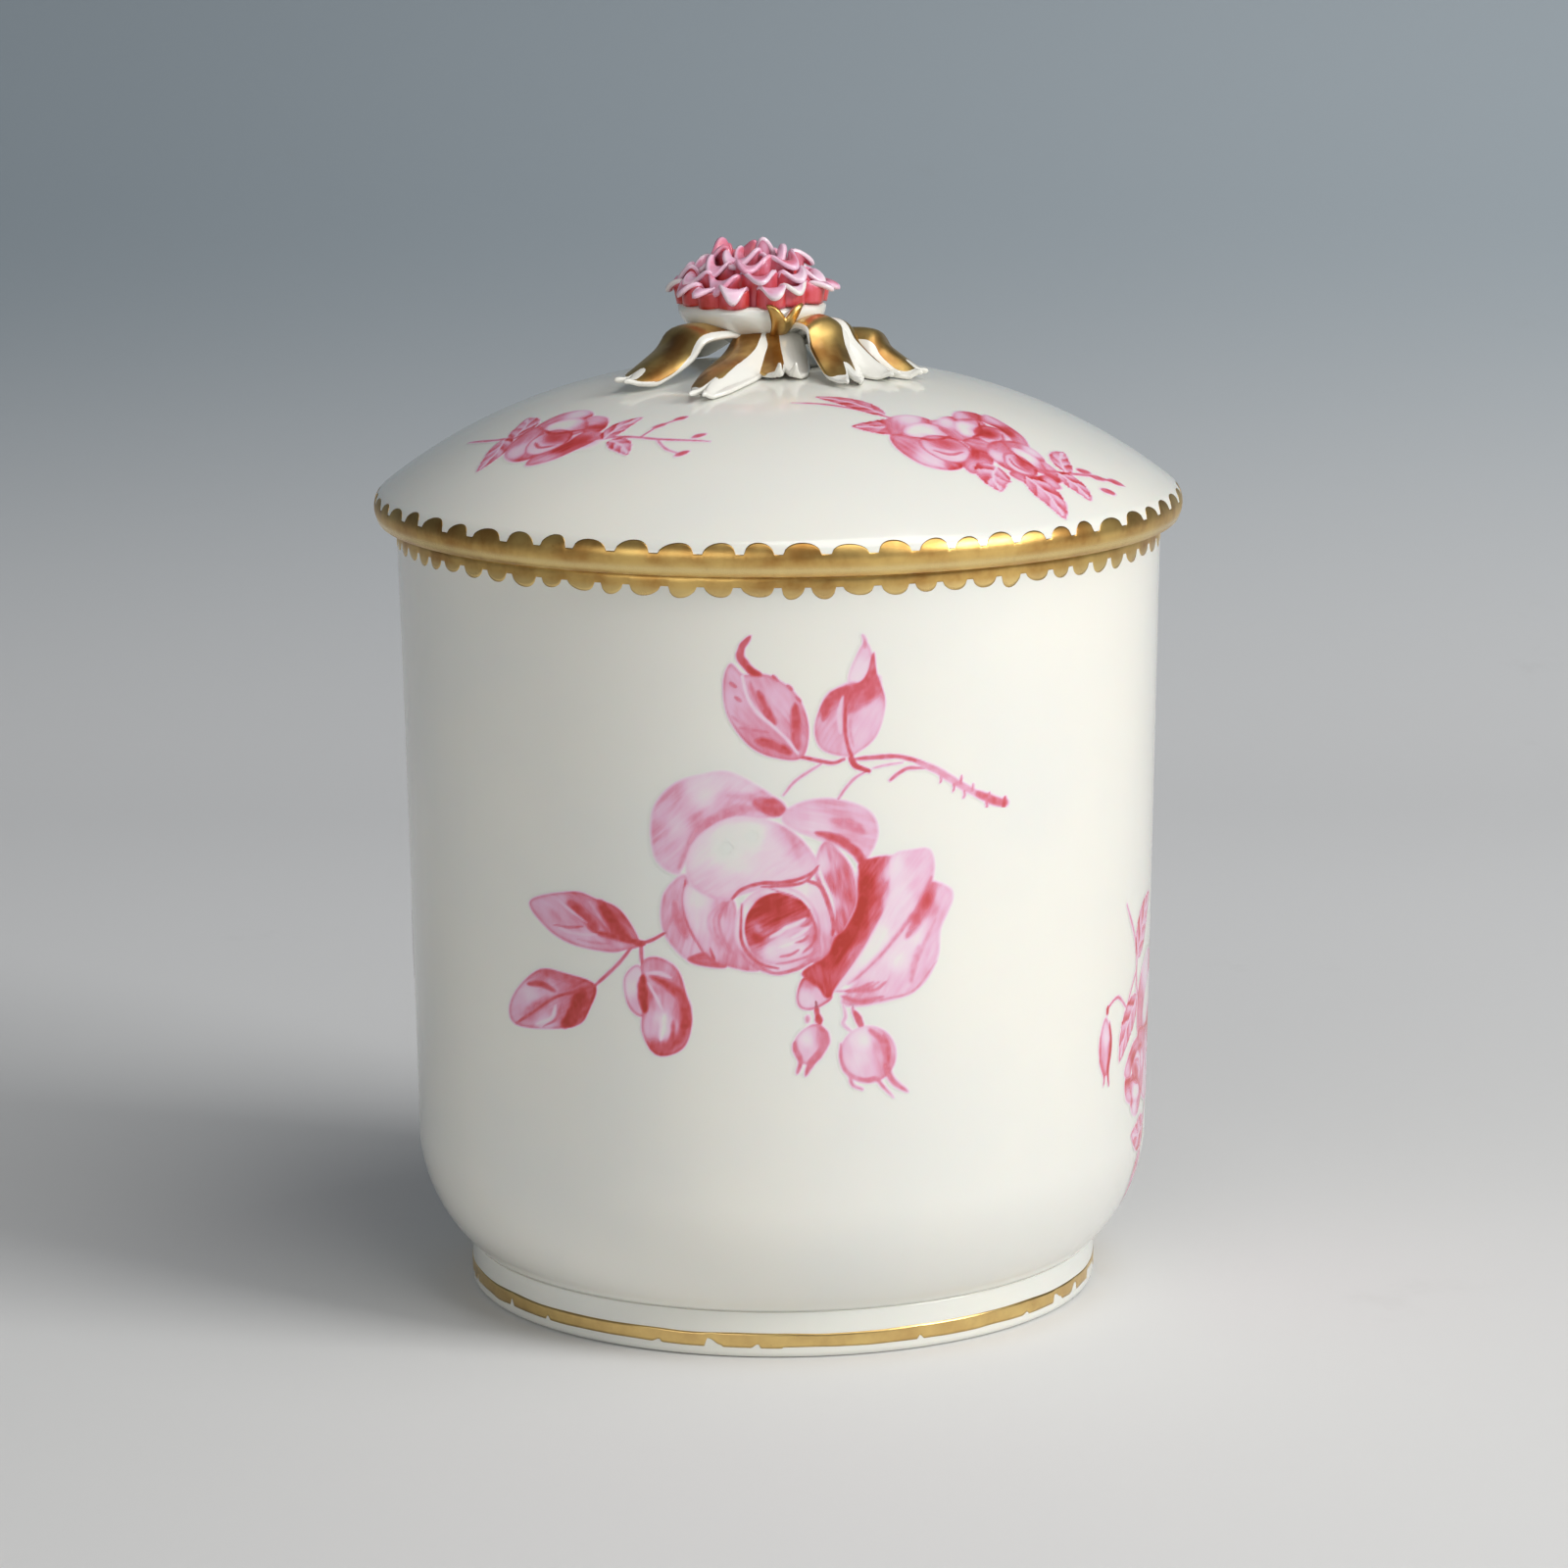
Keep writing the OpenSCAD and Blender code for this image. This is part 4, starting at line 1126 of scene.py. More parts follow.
    # the right leaf, folded over, with a pale tip behind
    c.wash([(5.6, 60.0), (6.9, 63.0), (7.6, 62.0), (7.5, 60.2), (6.6, 59.4)],
           [(6.6, 61.0, 0.14), (7.2, 62.2, 0.26), (6.0, 60.0, 0.1)],
           0.16, 60, 0.2, 0.14, 0.2)
    c.stroke([(7.0, 62.6), (7.0, 63.2), (6.8, 63.7)], 0.34, 0.42, (0.6, 0.2), 0.12)
    c.wash([(5.5, 53.4), (3.4, 54.1), (2.9, 56.2), (4.2, 58.8), (6.8, 59.8), (7.7, 62.2),
            (8.0, 60.4), (8.7, 58.0), (8.0, 55.2), (6.5, 53.8)],
           [(3.5, 56.0, 0.34), (4.3, 54.6, 0.34), (4.0, 57.6, 0.6), (4.9, 57.0, 0.32),
            (5.9, 58.4, 0.7), (7.4, 59.4, 0.62), (7.2, 57.4, 0.24), (8.0, 57.2, 0.24),
            (6.6, 55.2, 0.24), (7.6, 60.6, 0.56)], 0.14, 60, 0.22, 0.12, 0.2)
    c.stroke([(3.5, 57.4), (4.3, 58.5), (5.6, 59.1), (6.9, 59.5), (7.7, 60.6)], 0.8, 0.7,
             (0.3, 0.3), 0.25)
    c.stroke([(5.7, 57.2), (6.6, 58.0), (7.6, 59.0), (8.0, 60.0)], 1.0, 0.66, (0.2, 0.4), 0.35,
             0.85)
    c.stroke([(3.6, 56.5), (3.9, 57.6), (4.6, 58.3)], 0.6, 0.68, (0.2, 0.5), 0.2)
    c.stroke([(5.2, 58.5), (4.9, 57.0), (5.0, 55.4)], 0.34, 0.2, (0.3, 0.3), 0.14)
    c.stroke([(5.6, 59.0), (5.4, 57.2), (5.4, 55.4), (5.8, 53.7), (6.4, 52.6), (7.4, 52.1)],
             0.3, 0.7, (0.3, 0.6), 0.1)
    c.stroke([(5.7, 53.3), (6.3, 52.6), (7.5, 52.2)], 0.44, 0.74, (0.4, 0.2), 0.1)
    c.stroke([(5.9, 57.0), (5.8, 55.6), (6.1, 54.2)], 0.26, 0.4, (0.2, 0.2), 0.12)
    c.lift("top_leaves", fromFront, "jar")


def paintFrontBuds():
    c = Canvas((0.3, 23.2), (12.0, 33.2), 0.12, 400)
    c.stroke([(2.9, 32.5), (3.0, 31.6), (3.2, 30.9)], 0.44, 0.7, (0.7, 0.9))
    c.stroke([(3.1, 31.2), (3.2, 30.7)], 0.7, 0.78, (0.7, 0.6), 0.14)
    c.stroke([(2.2, 31.2), (2.2, 30.9)], 0.5, 0.42, (0.8, 0.8), 0.14)
    c.wash([(2.4, 30.5), (1.2, 29.4), (1.2, 27.8), (2.2, 27.1), (3.4, 28.1), (3.9, 29.6),
            (3.3, 30.5)],
           [(2.2, 29.2, 0.04), (1.2, 28.6, 0.3), (3.4, 29.3, 0.56), (2.4, 27.8, 0.26)],
           0.2, 90, 0.2, 0.12, 0.22)
    c.stroke([(3.2, 30.4), (3.8, 29.4), (3.3, 28.2), (2.5, 27.2), (2.0, 26.1)], 0.72, 0.56,
             (0.3, 0.1), 0.16)
    c.stroke([(1.1, 29.1), (1.2, 28.4), (1.6, 27.4), (1.3, 26.3)], 0.5, 0.56, (0.2, 0.2), 0.14)
    c.stroke([(5.2, 32.3), (5.4, 31.3), (5.2, 30.6), (5.9, 29.9)], 0.3, 0.32, (0.5, 0.4), 0.12)
    c.stroke([(6.0, 32.4), (6.1, 31.5), (6.7, 30.3)], 0.3, 0.42, (0.5, 0.4), 0.1)
    c.stroke([(6.2, 31.6), (6.5, 31.0), (6.8, 30.1)], 0.62, 0.66, (0.5, 0.3), 0.12)
    c.wash(oval((7.3, 27.9), (2.4, 2.5)),
           [(7.0, 29.0, 0.03), (6.6, 27.6, 0.14), (5.3, 28.2, 0.3), (8.2, 28.6, 0.42),
            (9.2, 28.0, 0.34), (7.4, 26.2, 0.24), (8.6, 26.6, 0.36)], 0.12, 110, 0.22, 0.14, 0.25)
    c.stroke([(7.5, 30.0), (8.4, 29.2), (8.9, 27.9), (8.9, 26.7), (9.5, 25.5), (10.7, 24.6)], 0.66,
             0.54, (0.6, 0.1), 0.2)
    c.stroke([(8.6, 29.6), (9.0, 28.6), (9.0, 27.4)], 0.34, 0.62, (0.3, 0.3), 0.14)
    c.stroke([(5.0, 28.9), (5.0, 27.6), (5.5, 26.4), (6.3, 25.9), (7.3, 25.7), (8.0, 25.8),
              (8.6, 25.1), (9.5, 24.1)], 0.42, 0.5, (0.2, 0.1), 0.14)
    c.stroke([(5.7, 26.2), (6.0, 25.3), (6.8, 24.9)], 0.34, 0.46, (0.3, 0.7), 0.14)
    c.lift("hanging_buds", fromFront, "jar")


sideSprays = {                 # turn is in degrees from the front, drop in mm
    "right_spray": {"turn": 87, "seed": 500, "mirror": 1, "drop": 9.5},
    "back_spray": {"turn": 166, "seed": 600, "mirror": -1, "drop": 0.0},
    "left_spray": {"turn": -116, "seed": 700, "mirror": -1, "drop": 3.0},
}


def paintSideSpray(name, turn, seed, mirror, drop):
    # a looser spray for the side or the back, laid out about its own middle
    def place(u, v, lift):
        return onWall(math.radians(turn) * pot["topRadius"] + mirror * u, v - drop, lift)

    c = Canvas((-18.5, 16.0), (15.0, 54.0), 0.16, seed)
    c.stroke([(-12.6, 46.0), (-9.6, 41.6), (-9.0, 37.6), (-6.0, 34.6)], 0.42, 0.5, (0.3, 0.8))
    c.stroke([(-9.2, 39.6), (-11.2, 37.6), (-12.4, 36.0)], 0.28, 0.55, (0.6, 0.4))
    c.leaf((-9.3, 40.5), (-4.2, 45.5), 3.6, 0.7, 4, 1)
    c.leaf((-9.0, 37.0), (-13.6, 32.0), 3.2, -0.6, 4, -1)
    c.stroke([(-12.0, 36.6), (-14.2, 38.0), (-16.4, 37.4)], 0.28, 0.6, (0.6, 0.6))
    c.bud((-16.6, 36.8), (-16.4, 31.4), 2.4, 0.85)
    c.stroke([(3.5, 38.6), (6.5, 42.0), (9.8, 43.4)], 0.32, 0.6, (0.8, 0.5))
    c.leaf((8.4, 43.0), (13.6, 46.4), 4.0, -0.7, 4, 1)
    c.leaf((6.4, 42.0), (7.6, 48.8), 3.8, 0.8, 4, -1)
    c.leaf((9.0, 42.8), (14.2, 40.0), 3.2, 0.6, 3, -1)
    c.stroke([(-2.4, 27.0), (-5.2, 23.4), (-6.2, 19.8)], 0.3, 0.6, (0.8, 0.5))
    c.leaf((-4.4, 24.6), (-9.8, 24.6), 3.2, 0.6, 3, 1)
    c.leaf((-5.6, 22.4), (-5.4, 17.0), 2.8, -0.5, 3, -1)
    c.rose((-1.2, 33.4), 7.4, 12)
    c.rose((-8.6, 29.8), 3.4, 150, 0.8)
    c.bud((4.4, 27.2), (6.6, 21.0), 3.2)
    c.bud((8.6, 30.0), (12.2, 25.4), 2.6)
    c.stroke([(3.6, 28.6), (5.8, 29.8), (8.6, 30.2)], 0.3, 0.6, (0.7, 0.6))
    c.lift(name, place, "jar")


paintBloom()
paintLeftLeaves()
paintTopLeaves()
paintFrontBuds()
for name, spray in sideSprays.items():
    paintSideSpray(name, **spray)
print("flowers painted on the pot")


def paintCoverSprays():
    # laid out in plan, as seen from above with the front towards -v
    c = Canvas((-29.5, -25.5), (-3.0, -5.0), 0.15, 800)
    c.stroke([(-26.8, -7.4), (-24.6, -10.4), (-22.4, -12.6)], 0.34, 0.6, (0.3, 0.8))
    c.leaf((-23.4, -11.6), (-25.6, -16.0), 2.4, 0.5, 3, 1)
    c.leaf((-22.6, -12.4), (-21.6, -8.2), 2.6, -0.5, 3, -1)
    c.rose((-18.8, -15.6), 4.4, -50, 0.9)
    c.blot((-16.6, -18.2), (1.4, 1.0), 0.92, -40)
    c.stroke([(-16.0, -18.6), (-13.0, -19.6), (-9.8, -21.4), (-5.6, -22.9)], 0.3, 0.6, (0.7, 0.3))
    c.leaf((-14.8, -19.2), (-11.4, -16.6), 2.0, 0.4, 3, 1)
    c.leaf((-14.2, -19.6), (-12.6, -22.8), 1.8, 0.3, 3, -1)
    c.stroke([(-11.6, -20.4), (-10.0, -19.0), (-8.6, -18.4)], 0.24, 0.56, (0.7, 0.7))
    c.stroke([(-10.2, -21.2), (-9.4, -23.0), (-8.4, -24.0)], 0.24, 0.56, (0.7, 0.7))
    for u, v in ((-8.2, -18.2), (-8.0, -24.2), (-10.0, -19.0), (-6.6, -21.8)):
        c.stroke([(u - 0.5, v - 0.1), (u + 0.5, v + 0.2)], 0.6, 0.62, (0.5, 0.5), 0.14)
    c.lift("cover_spray_left", onDome, "lid")

    c = Canvas((0.5, -30.0), (31.5, -9.0), 0.15, 900)
    c.stroke([(1.2, -16.2), (4.4, -16.4), (8.2, -17.4), (11.4, -18.6)], 0.34, 0.6, (0.3, 0.8))
    c.leaf((9.0, -17.4), (3.2, -14.6), 2.2, -0.5, 4, 1, 0.9, 0.45)
    c.leaf((11.6, -18.2), (6.2, -20.4), 2.8, 0.5, 4, -1, 0.9, 0.45)
    c.rose((13.8, -20.4), 4.5, 20, 0.75)
    c.rose((17.6, -16.4), 3.8, 70, 0.85)
    c.blot((17.6, -16.6), (1.0, 0.8), 0.95, 0)
    c.rose((20.8, -19.6), 3.1, -40, 0.85)
    c.stroke([(20.8, -20.2), (23.8, -18.6), (27.0, -16.0), (29.6, -14.4)], 0.32, 0.6, (0.7, 0.3))
    c.leaf((20.8, -21.6), (24.0, -25.0), 3.0, 0.5, 3, 1)
    c.leaf((18.4, -21.8), (18.6, -25.2), 3.2, -0.5, 3, -1)
    c.leaf((23.6, -18.8), (26.4, -20.6), 2.4, 0.4, 3, 1)
    c.leaf((24.4, -18.0), (24.4, -14.2), 2.0, 0.4, 3, -1)
    for u, v in ((27.2, -16.0), (28.0, -17.4), (28.8, -14.8), (26.0, -16.2)):
        c.stroke([(u - 0.5, v - 0.3), (u + 0.5, v + 0.4)], 0.7, 0.66, (0.5, 0.5), 0.14)
    c.lift("cover_spray_right", onDome, "lid")

    c = Canvas((-15.0, 8.5), (15.0, 28.0), 0.16, 1000)
    c.stroke([(-13.4, 14.0), (-8.0, 17.0), (-3.0, 18.0)], 0.34, 0.6, (0.3, 0.8))
    c.leaf((-9.0, 16.6), (-12.4, 20.6), 2.6, 0.5, 3, 1)
    c.leaf((-7.0, 17.2), (-6.0, 12.8), 2.6, 0.5, 3, -1)
    c.rose((0.4, 18.4), 4.8, 160, 0.85)
    c.stroke([(3.4, 19.4), (7.6, 19.0), (12.6, 15.0)], 0.3, 0.6, (0.7, 0.3))
    c.leaf((6.6, 19.2), (8.8, 23.2), 2.4, -0.5, 3, 1)
    c.bud((9.6, 17.6), (10.6, 13.4), 1.8)
    c.lift("cover_spray_back", onDome, "lid")


paintCoverSprays()
print("flowers painted on the cover")


flower = {
    "axis": -2.2,              # the flower leans to the left of the cover's axis
    "base": cupHigh[2] / mm,
    "lean": 0.01,
    "thick": 0.6,
    "rows": (
        {"count": 14, "foot": 5.9, "rim": 6.4, "top": 2.3, "sink": -0.1, "spread": 0.95,
         "ink": 0.92},
        {"count": 11, "foot": 4.8, "rim": 5.5, "top": 3.7, "sink": 0.2, "spread": 0.85,
         "ink": 0.88},
        {"count": 8, "foot": 3.5, "rim": 4.2, "top": 5.1, "sink": 0.2, "spread": 0.8,
         "ink": 0.82},
        {"count": 5, "foot": 2.1, "rim": 2.9, "top": 5.9, "sink": 0.1, "spread": 0.75,
         "ink": 0.74},
        {"count": 3, "foot": 0.7, "rim": 1.4, "top": 6.0, "sink": 0.1, "spread": 0.7,
         "ink": 0.66},
    ),
}


def closedSheet(name, skin, thick, body, finish, node, fields, facing=1):
    # gives a sheet of points (across, along) a front, a back and a rounded edge;
    # fields(side) is a dictionary of values for the front (1) or the back (-1)
    across = np.gradient(skin, axis=0)
    along = np.gradient(skin, axis=1)
    normal = np.cross(across, along) * facing
    normal /= np.maximum(np.linalg.norm(normal, axis=-1, keepdims=True), 1e-9)
    half = thick[..., None] / 2
    front, back = skin + normal * half, skin - normal * half
    reach = along[:, -1] / np.maximum(np.linalg.norm(along[:, -1], axis=-1, keepdims=True), 1e-9)
    edge = (skin[:, -1] + reach * half[:, -1] * 0.9)[:, None]
    loop = np.concatenate([front, edge, back[:, ::-1]], 1)
    count, size = loop.shape[:2]
    points = loop.reshape(-1, 3)
    faces = gridFaces(count, size, loopColumns=True)
    for column, flip in ((0, 1), (count - 1, -1)):
        ends = [column * size + k for k in range(size)]
        steps = (size - 1) // 2
        for k in range(steps):
            quad = [ends[k], ends[k + 1], ends[size - 2 - k], ends[size - 1 - k]]
            if k == steps - 1:
                quad = [ends[k], ends[k + 1], ends[size - 1 - k]]
            faces.append(quad[::flip])
    values = {}
    for field, (frontValues, edgeValues, backValues) in fields.items():
        values[field] = np.concatenate([frontValues, edgeValues[:, None], backValues[:, ::-1]], 1)
    return makePiece(name, points, faces, body, finish, [node], values, outward=True)


def makePetal(row, number, chance):
    part = flower["rows"][row]
    node = f"petal_row{row + 1}_{number}"
    low, high = (np.array(corner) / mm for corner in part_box(node))
    middle = (low + high) / 2
    turn = math.atan2(middle[1], middle[0] - flower["axis"]) + chance.uniform(-0.06, 0.06)
    u = np.linspace(-1, 1, 19)[:, None]
    v = np.linspace(0, 1, 13)[None, :]
    wide = math.pi / part["count"] * chance.uniform(1.05, 1.3)
    tall = (part["top"] + part["sink"]) * chance.uniform(0.86, 1.06)
    roll = chance.uniform(0.35, 1.0)
    frost = chance.uniform(0, 1) ** 0.4      # how white its edge was left
    skew = chance.uniform(-0.3, 0.3)
    bent = u + skew * (1 - u ** 2)
    keel = (0.5 + 0.5 * np.cos(math.pi * bent)) ** chance.uniform(0.8, 1.2)
    wave = 0.2 * np.sin(4.4 * u + chance.uniform(0, 6.3)) * v ** 2
    rise = np.sin(np.minimum(v / 0.62, 1) * math.pi / 2)
    lip = np.clip((v - 0.55) / 0.45, 0, 1)
    angle = turn + wide * u * (part["spread"] + (1 - part["spread"]) * v ** 0.7)
    radius = part["foot"] + (part["rim"] - part["foot"]) * v
    radius = radius + keel * (0.3 * rise + 0.75 * lip ** 1.1) - (1 - keel) * 0.3 * v
    radius = radius + 0.3 * (1 - u ** 2) * (1 - v) - 0.25 * np.abs(u) ** 3
    radius = np.maximum(radius + wave, 0.15)
    low = tall * 0.68 * rise - roll * lip ** 1.8
    high = tall * (0.92 - 0.26 * np.abs(u) ** 6) * np.sin(v * math.pi / 2 * 0.96)
    hang = part["sink"] * chance.uniform(0.5, 1.7) + 0.16 * (1 - u ** 2) * (1 - v)
    height = flower["base"] - hang + keel * low + (1 - keel) * high + wave * 0.5
    x = flower["axis"] + radius * np.cos(angle)
    height = height + flower["lean"] * (x - flower["axis"])
    skin = np.stack(np.broadcast_arrays(x, radius * np.sin(angle), height), -1)
    thick = flower["thick"] * (0.5 + 0.5 * (1 - u ** 4)) * (1.3 - 0.55 * v)
    # painted light: petals turned towards the lamps get less ink and look paler, those on the
    # shaded side stay deep
    lean = 0.5 + 0.5 * math.cos(turn + 0.5)      # paler on the side away from the shade
    deep = part["ink"] * (1 - 0.16 * lean)
    mottle = 0.1 * softNoise(u * 3 + row * 7, v * 4 + number * 5, 0.8, 31)
    outer = deep * (1 - 0.25 * smoothStep(v, 0.1, 0.8)) + 0.1 * np.abs(u) ** 3 + mottle
    outer = outer * (1 - smoothStep(v, 0.93, 1.0) * 0.9 * frost)
    rosy = 0.16 + 0.34 * chance.uniform(0, 1) + 0.03 * row
    inner = (rosy + (deep - rosy) * (1 - smoothStep(v, 0.3, 0.72))
             + 0.3 * np.abs(u) ** 5 + mottle * 0.8)
    inner = np.clip(inner, 0, 0.8) * (1 - smoothStep(v, 0.84, 1.0) * 0.8 * frost)
    edge = 0.04 + 0.5 * (1 - frost) + 0.45 * np.abs(u[:, 0]) ** 8
    fields = {"ink": (np.clip(outer, 0, 1), edge, np.clip(inner, 0, 1))}
    return closedSheet(f"ruffled_petal_{row + 1}_{number}", skin,
                       np.broadcast_to(thick, skin.shape[:2]), "lid",
                       petalEnamel, node, fields)


def makeFlower():
    chance = np.random.default_rng(77)
    for row, part in enumerate(flower["rows"]):
        for number in range(1, part["count"] + 1):
            makePetal(row, number, chance)


# turn is the direction of a leaf's tip and swing that of its root, in degrees; crest is its
# height above the cover's top, out how far out the crest stands, and gilded the part across
# the leaf that is gold, from -1 to 1
knobAxis = -0.6
leaves = (
    {"turn": 216, "swing": 2, "reach": 16.0, "crest": 3.4, "out": 8.8,
     "width": 5.4, "dropLeft": 0.5, "dropRight": 1.0,
     "gilded": (-1.1, 0.84), "notch": 0.1, "curl": 0.5},
    {"turn": 248, "swing": 10, "reach": 16.8, "crest": 3.1, "out": 4.4,
     "width": 4.2, "dropLeft": 0.4, "dropRight": 2.0,
     "gilded": (-1.1, 0.25), "notch": 0.16, "curl": 0.4},
    {"turn": 278, "swing": -2, "reach": 10.8, "crest": 2.8, "out": 4.8,
     "width": 5.0, "dropLeft": 0.5, "dropRight": 0.9,
     "gilded": (-0.98, 0.05), "notch": 0.2, "curl": 1.2},
    {"turn": 301, "swing": 17, "reach": 14.0, "crest": 4.1, "out": 7.6,
     "width": 4.8, "dropLeft": 0.6, "dropRight": 1.6,
     "gilded": (-0.95, 0.5), "notch": 0.16, "curl": 0.4},
    {"turn": 323, "swing": 6, "reach": 13.6, "crest": 3.7, "out": 7.4,
     "width": 4.0, "dropLeft": 1.4, "dropRight": 1.6,
     "gilded": (0.05, 0.6), "notch": 0.1, "curl": 0.3},
    {"turn": 336, "swing": 12, "reach": 14.6, "crest": 2.8, "out": 9.4,
     "width": 4.6, "dropLeft": 2.0, "dropRight": 0.6,
     "gilded": (-0.6, 1.1), "notch": 0.1, "curl": 0.4},
    {"turn": 62, "swing": 8, "reach": 14.0, "crest": 3.0, "out": 7.4,
     "width": 4.6, "dropLeft": 1.0, "dropRight": 1.0,
     "gilded": (-0.8, 0.8), "notch": 0.12, "curl": 0.5},
    {"turn": 128, "swing": -8, "reach": 15.0, "crest": 2.9, "out": 7.8,
     "width": 4.6, "dropLeft": 1.0, "dropRight": 1.0,
     "gilded": (-0.8, 0.8), "notch": 0.12, "curl": 0.5},
)


def makeLeaf(number, turn, swing, reach, crest, out, width, dropLeft, dropRight, gilded, notch,
             curl):
    u = np.linspace(-1, 1, 25)[:, None]
    t = np.linspace(0, 1, 41)[None, :]
    ended = t * (1 - notch * (1 - np.abs(u)) ** 1.6)
    tipHeight = float(domeHeight(reach)) + 0.5
    top = lid["apex"] + crest
    beyond = reach - out
    path = smoothCurve([(2.3, lid["apex"] + 1.6), (2.6 + 0.5 * (out - 2.6), top - 0.1),
                        (out, top), (out + 0.22 * beyond, top - 0.42 * crest),
                        (out + 0.58 * beyond, top - 0.84 * crest), (reach, tipHeight)], steps=12)
    travel = np.concatenate([[0], np.cumsum(np.linalg.norm(np.diff(path, axis=0), axis=1))])
    radius = np.interp(ended, travel / travel[-1], path[:, 0])
    height = np.interp(ended, travel / travel[-1], path[:, 1])
    height = height + curl * smoothStep(ended, 0.9, 1.0) ** 1.5
    chance = np.random.default_rng(900 + number)
    wave = 0.14 * np.sin(9 * t + chance.uniform(0, 6)) * np.abs(u) ** 2
    half = width / 2 * (0.42 + 0.58 * np.sin(math.pi * np.clip(0.08 + 0.86 * t, 0, 1)) ** 0.8)
    half = half * (1 - 0.45 * smoothStep(t, 0.82, 1.0))
    side = u * half
    drop = np.where(u < 0, dropLeft, dropRight) * np.abs(u) ** 1.8
    drop = drop * smoothStep(t, 0.05, 0.4) * (1 - smoothStep(t, 0.8, 1.0))
    height = height - drop + wave
    angle = math.radians(turn) + math.radians(swing) * (1 - ended) ** 1.2
    x = knobAxis + radius * np.cos(angle) - side * np.sin(angle)
    y = radius * np.sin(angle) + side * np.cos(angle)
    height = np.maximum(height, domeHeight(np.hypot(x, y)) + 0.3)
    skin = np.stack(np.broadcast_arrays(x, y, height), -1)
    thick = 0.62 * (1 - 0.45 * np.abs(u) ** 6) * (1.1 - 0.3 * t)
    low, high = gilded
    cover = smoothStep(u + wave, low - 0.06, low + 0.06)
    cover = cover * (1 - smoothStep(u + wave, high - 0.06, high + 0.06))
    cover = cover * (1 - smoothStep(t + 0.05 * np.sin(5 * u), 0.9, 0.95))
    cover = np.broadcast_to(cover, skin.shape[:2])
    none = np.zeros(skin.shape[:2])
    fields = {"gold": (cover, cover[:, -1] * 0, none)}
    closedSheet(f"gilded_leaf_{number}", skin, np.broadcast_to(thick, skin.shape[:2]), "lid",
                gildedLeaf, f"leaf_{number}", fields, -1)


sepal = {"turn": 295, "low": -1.6, "high": 3.0, "width": 2.1, "lift": 0.12}


def cupRadius(height):
    # outer radius of the cup under the flower at a height above its foot
    rise = (cupHigh[2] - cupLow[2]) / mm
    part = np.clip(height / rise, 0, 1)
    inner, outer = 3.3, (cupHigh[0] - cupLow[0]) / 2 / mm
    return inner + (outer - inner) * np.sqrt(1 - (1 - part) ** 2)


def makeSepal():
    # a gilded tongue that climbs the cup's front and forks, seen above the front leaf
    u = np.linspace(-1, 1, 21)[:, None]
    t = np.linspace(0, 1, 21)[None, :]
    fork = 1 - 0.3 * (1 - np.abs(u)) ** 2.2
    height = sepal["low"] + (sepal["high"] - sepal["low"]) * t * fork
    wide = sepal["width"] / 2 * (0.85 - 0.2 * np.sin(math.pi * t) + 0.45 * t ** 2)
    radius = cupRadius(height) + sepal["lift"] + 0.28 + 0.35 * np.clip(-height, 0, 3)
    radius = radius + 0.25 * t ** 3 - 0.2 * u ** 2
    angle = math.radians(sepal["turn"]) + u * wide / 5.5
    shift = flower["axis"] * smoothStep(height, -1.2, 0.6) + knobAxis * (
        1 - smoothStep(height, -1.2, 0.6))
    skin = np.stack(np.broadcast_arrays(shift + radius * np.cos(angle), radius * np.sin(angle),
                                        cupLow[2] / mm + height), -1)
    thick = np.broadcast_to(0.55 * (1 - 0.5 * np.abs(u) ** 5) + 0 * t, skin.shape[:2])
    cover = np.broadcast_to(1.0 - 0.3 * np.abs(u) ** 8 + 0 * t, skin.shape[:2])
    fields = {"gold": (cover, cover[:, -1], cover * 0)}
    closedSheet("gilded_sepal", skin, thick, "lid", gildedLeaf, "sepal",
                fields)


makeFlower()
for number, leaf in enumerate(leaves, 1):
    makeLeaf(number, **leaf)
makeSepal()
print("flower and leaves modelled")


studio = {
    "eye": (0.35, -480.0, 138.2),
    "pitch": 11.03,            # degrees that the camera looks down
    "roll": -0.35,
    "lens": 126.16,
    "sensor": 36.0,
    "floorEnd": 210.0,
    "sweep": 300.0,
    "wallTop": 900.0,
    "near": -900.0,
    "wide": 1500.0,
    "paper": paint(234, 233, 232),
    "paperPaintedLight": paint(247, 246, 246),
    "wallFootTone": paint(181, 192, 200),
    "far": paint(106, 119, 131),
    "paintedLeftShade": paint(104, 117, 128),
}


def backdropFinish():
    material, start = newFinish("paperSweep")
    place = start.add("ShaderNodeSeparateXYZ", None, {"Vector": start.place()}, 2)
    low = place.step(-20 * mm, 65 * mm)
    high = place.step(60 * mm, 300 * mm)
    side = start.add("ShaderNodeSeparateXYZ", None, {"Vector": start.place()}, 0)
    # painted shade: the left side of the sweep, above the floor, is darkened towards a grey-blue
    # shade colour
    paintedLeftShade = (1 - side.step(-180 * mm, 170 * mm)) * low
    deep = start.add("ShaderNodeSeparateXYZ", None, {"Vector": start.place()}, 1)
    # painted light: the floor paper is painted brighter towards the back
    floor = deep.step(20 * mm, 170 * mm).mix(studio["paper"], studio["paperPaintedLight"])
    # the sweep's colour turns greyer and darker going up the wall
    lit = high.mix(low.mix(floor, studio["wallFootTone"]), studio["far"])
    colour = (paintedLeftShade * 0.45).mix(lit, studio["paintedLeftShade"])
    scuff = start.noise(26, 6, 0.7).step(0.62, 0.75)
    shade = (scuff * 0.06).mix(colour, paint(150, 146, 140))
    grain = start.noise(500, 4)
    fireFinish(start, {"IOR": 1.4, "Specular IOR Level": 0.25},
               {"Base Color": shade, "Roughness": 0.6 + grain * 0.2,
                "Normal": start.bump(grain, 0.15, 0.1 * mm)})
    return material


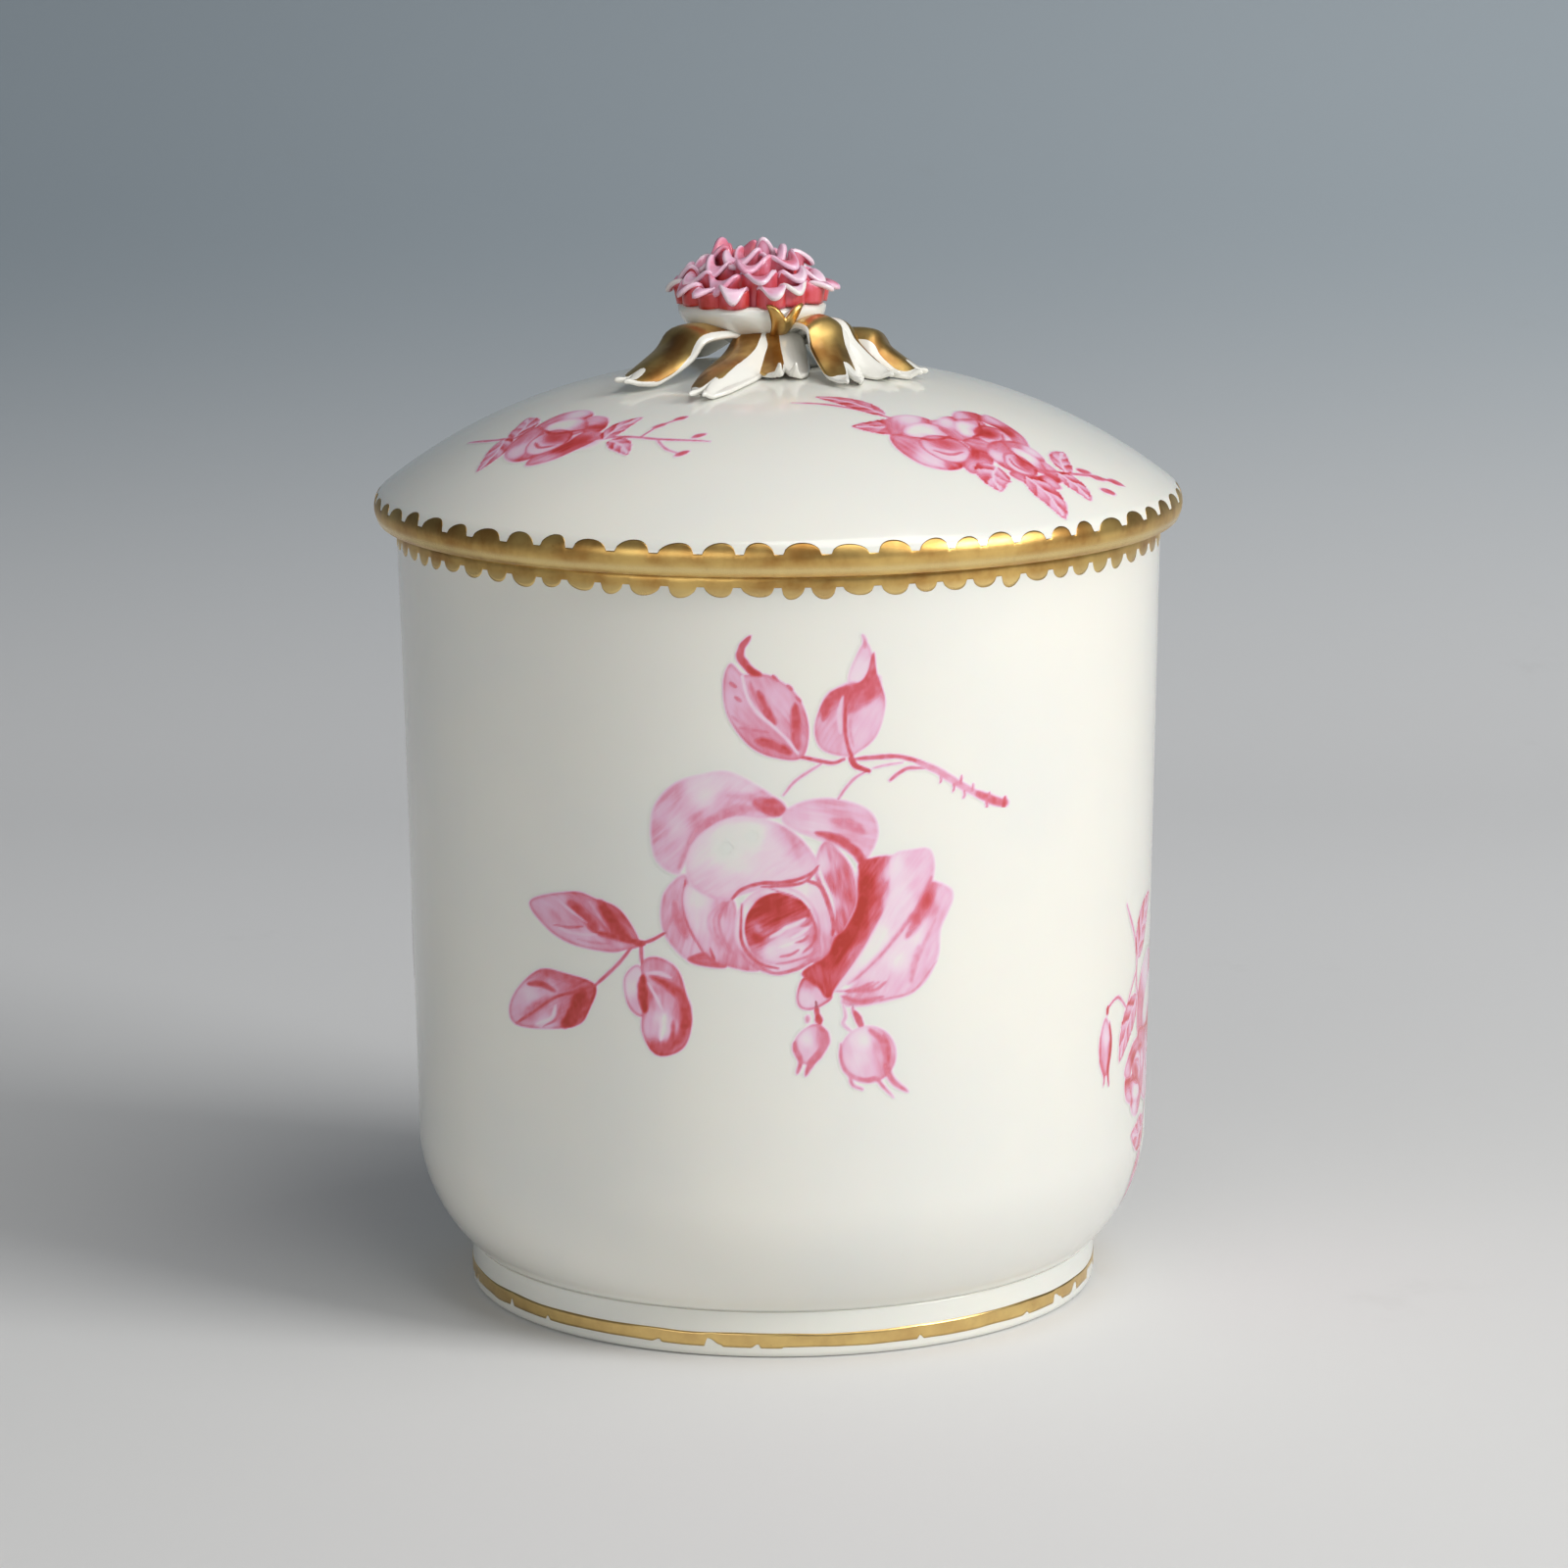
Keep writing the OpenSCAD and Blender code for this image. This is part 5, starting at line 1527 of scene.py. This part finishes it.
def makeSweep():
    end, radius = studio["floorEnd"], studio["sweep"]
    profile = [(y, 0.0) for y in np.linspace(studio["near"], end, 12)]
    profile += [(y, z) for y, z in arc(end, radius, radius, -90, 0, 24)[1:]]
    profile += [(end + radius, z) for z in np.linspace(radius, studio["wallTop"], 8)[1:]]
    profile = np.array(profile)
    across = np.linspace(-studio["wide"], studio["wide"], 12)
    points = np.array([[x, y, z] for y, z in profile for x in across])
    mesh = bpy.data.meshes.new("paper_sweep")
    mesh.from_pydata((points * mm).tolist(), [], gridFaces(len(profile), len(across)))
    mesh.shade_smooth()
    mesh.materials.append(backdropFinish())
    sweep = bpy.data.objects.new("paper_sweep", mesh)
    bpy.context.collection.objects.link(sweep)


lights = {
    "window": {"at": (545, -300, 365), "aim": (0, 0, 45), "size": (280, 240), "watts": 3.0,
               "tint": (1.0, 0.985, 0.96)},
    "frontFill": {"at": (-330, -620, 250), "aim": (0, 0, 60), "size": (560, 200),
                  "watts": 0.92, "tint": (1.0, 0.985, 0.95)},
    "overhead": {"at": (180, -200, 600), "aim": (0, 0, 50), "size": (420, 420), "watts": 1.5,
                 "tint": (1.0, 0.98, 0.95)},
}


def aim(thing, eye, target):
    eye, target = np.array(eye, float), np.array(target, float)
    back = (eye - target) / np.linalg.norm(eye - target)
    right = np.cross((0, 0, 1), back)
    right /= np.linalg.norm(right)
    up = np.cross(back, right)
    pose = np.identity(4)
    pose[:3, 0], pose[:3, 1], pose[:3, 2], pose[:3, 3] = right, up, back, eye * mm
    thing.matrix_world = Matrix(pose.tolist())


def makeLights():
    for name, part in lights.items():
        lamp = bpy.data.lights.new(name, "AREA")
        lamp.shape = "RECTANGLE"
        lamp.size, lamp.size_y = part["size"][0] * mm, part["size"][1] * mm
        lamp.energy = part["watts"]
        lamp.color = part["tint"]
        stand = bpy.data.objects.new(name, lamp)
        bpy.context.collection.objects.link(stand)
        aim(stand, part["at"], part["aim"])
    sky = bpy.data.worlds.new("room")
    sky.use_nodes = True
    air = sky.node_tree.nodes["Background"]
    air.inputs["Color"].default_value = paint(205, 210, 216)
    air.inputs["Strength"].default_value = 0.2
    bpy.context.scene.world = sky


def makeCamera():
    lens = bpy.data.cameras.new("eye")
    lens.lens = studio["lens"]
    lens.sensor_width = studio["sensor"]
    lens.clip_start = 0.01
    eye = bpy.data.objects.new("eye", lens)
    bpy.context.collection.objects.link(eye)
    pitch, roll = math.radians(studio["pitch"]), math.radians(studio["roll"])
    forward = np.array([0, math.cos(pitch), -math.sin(pitch)])
    right = np.array([1.0, 0, 0])
    up = np.cross(right, forward)
    turned = math.cos(roll) * right + math.sin(roll) * up
    up = math.cos(roll) * up - math.sin(roll) * right
    pose = np.identity(4)
    pose[:3, 0], pose[:3, 1], pose[:3, 2] = turned, up, -forward
    pose[:3, 3] = np.array(studio["eye"]) * mm
    eye.matrix_world = Matrix(pose.tolist())
    bpy.context.scene.camera = eye


makeSweep()
makeLights()
makeCamera()
bpy.context.scene.view_settings.view_transform = "Standard"
print("studio lit")

bpy.context.view_layer.update()
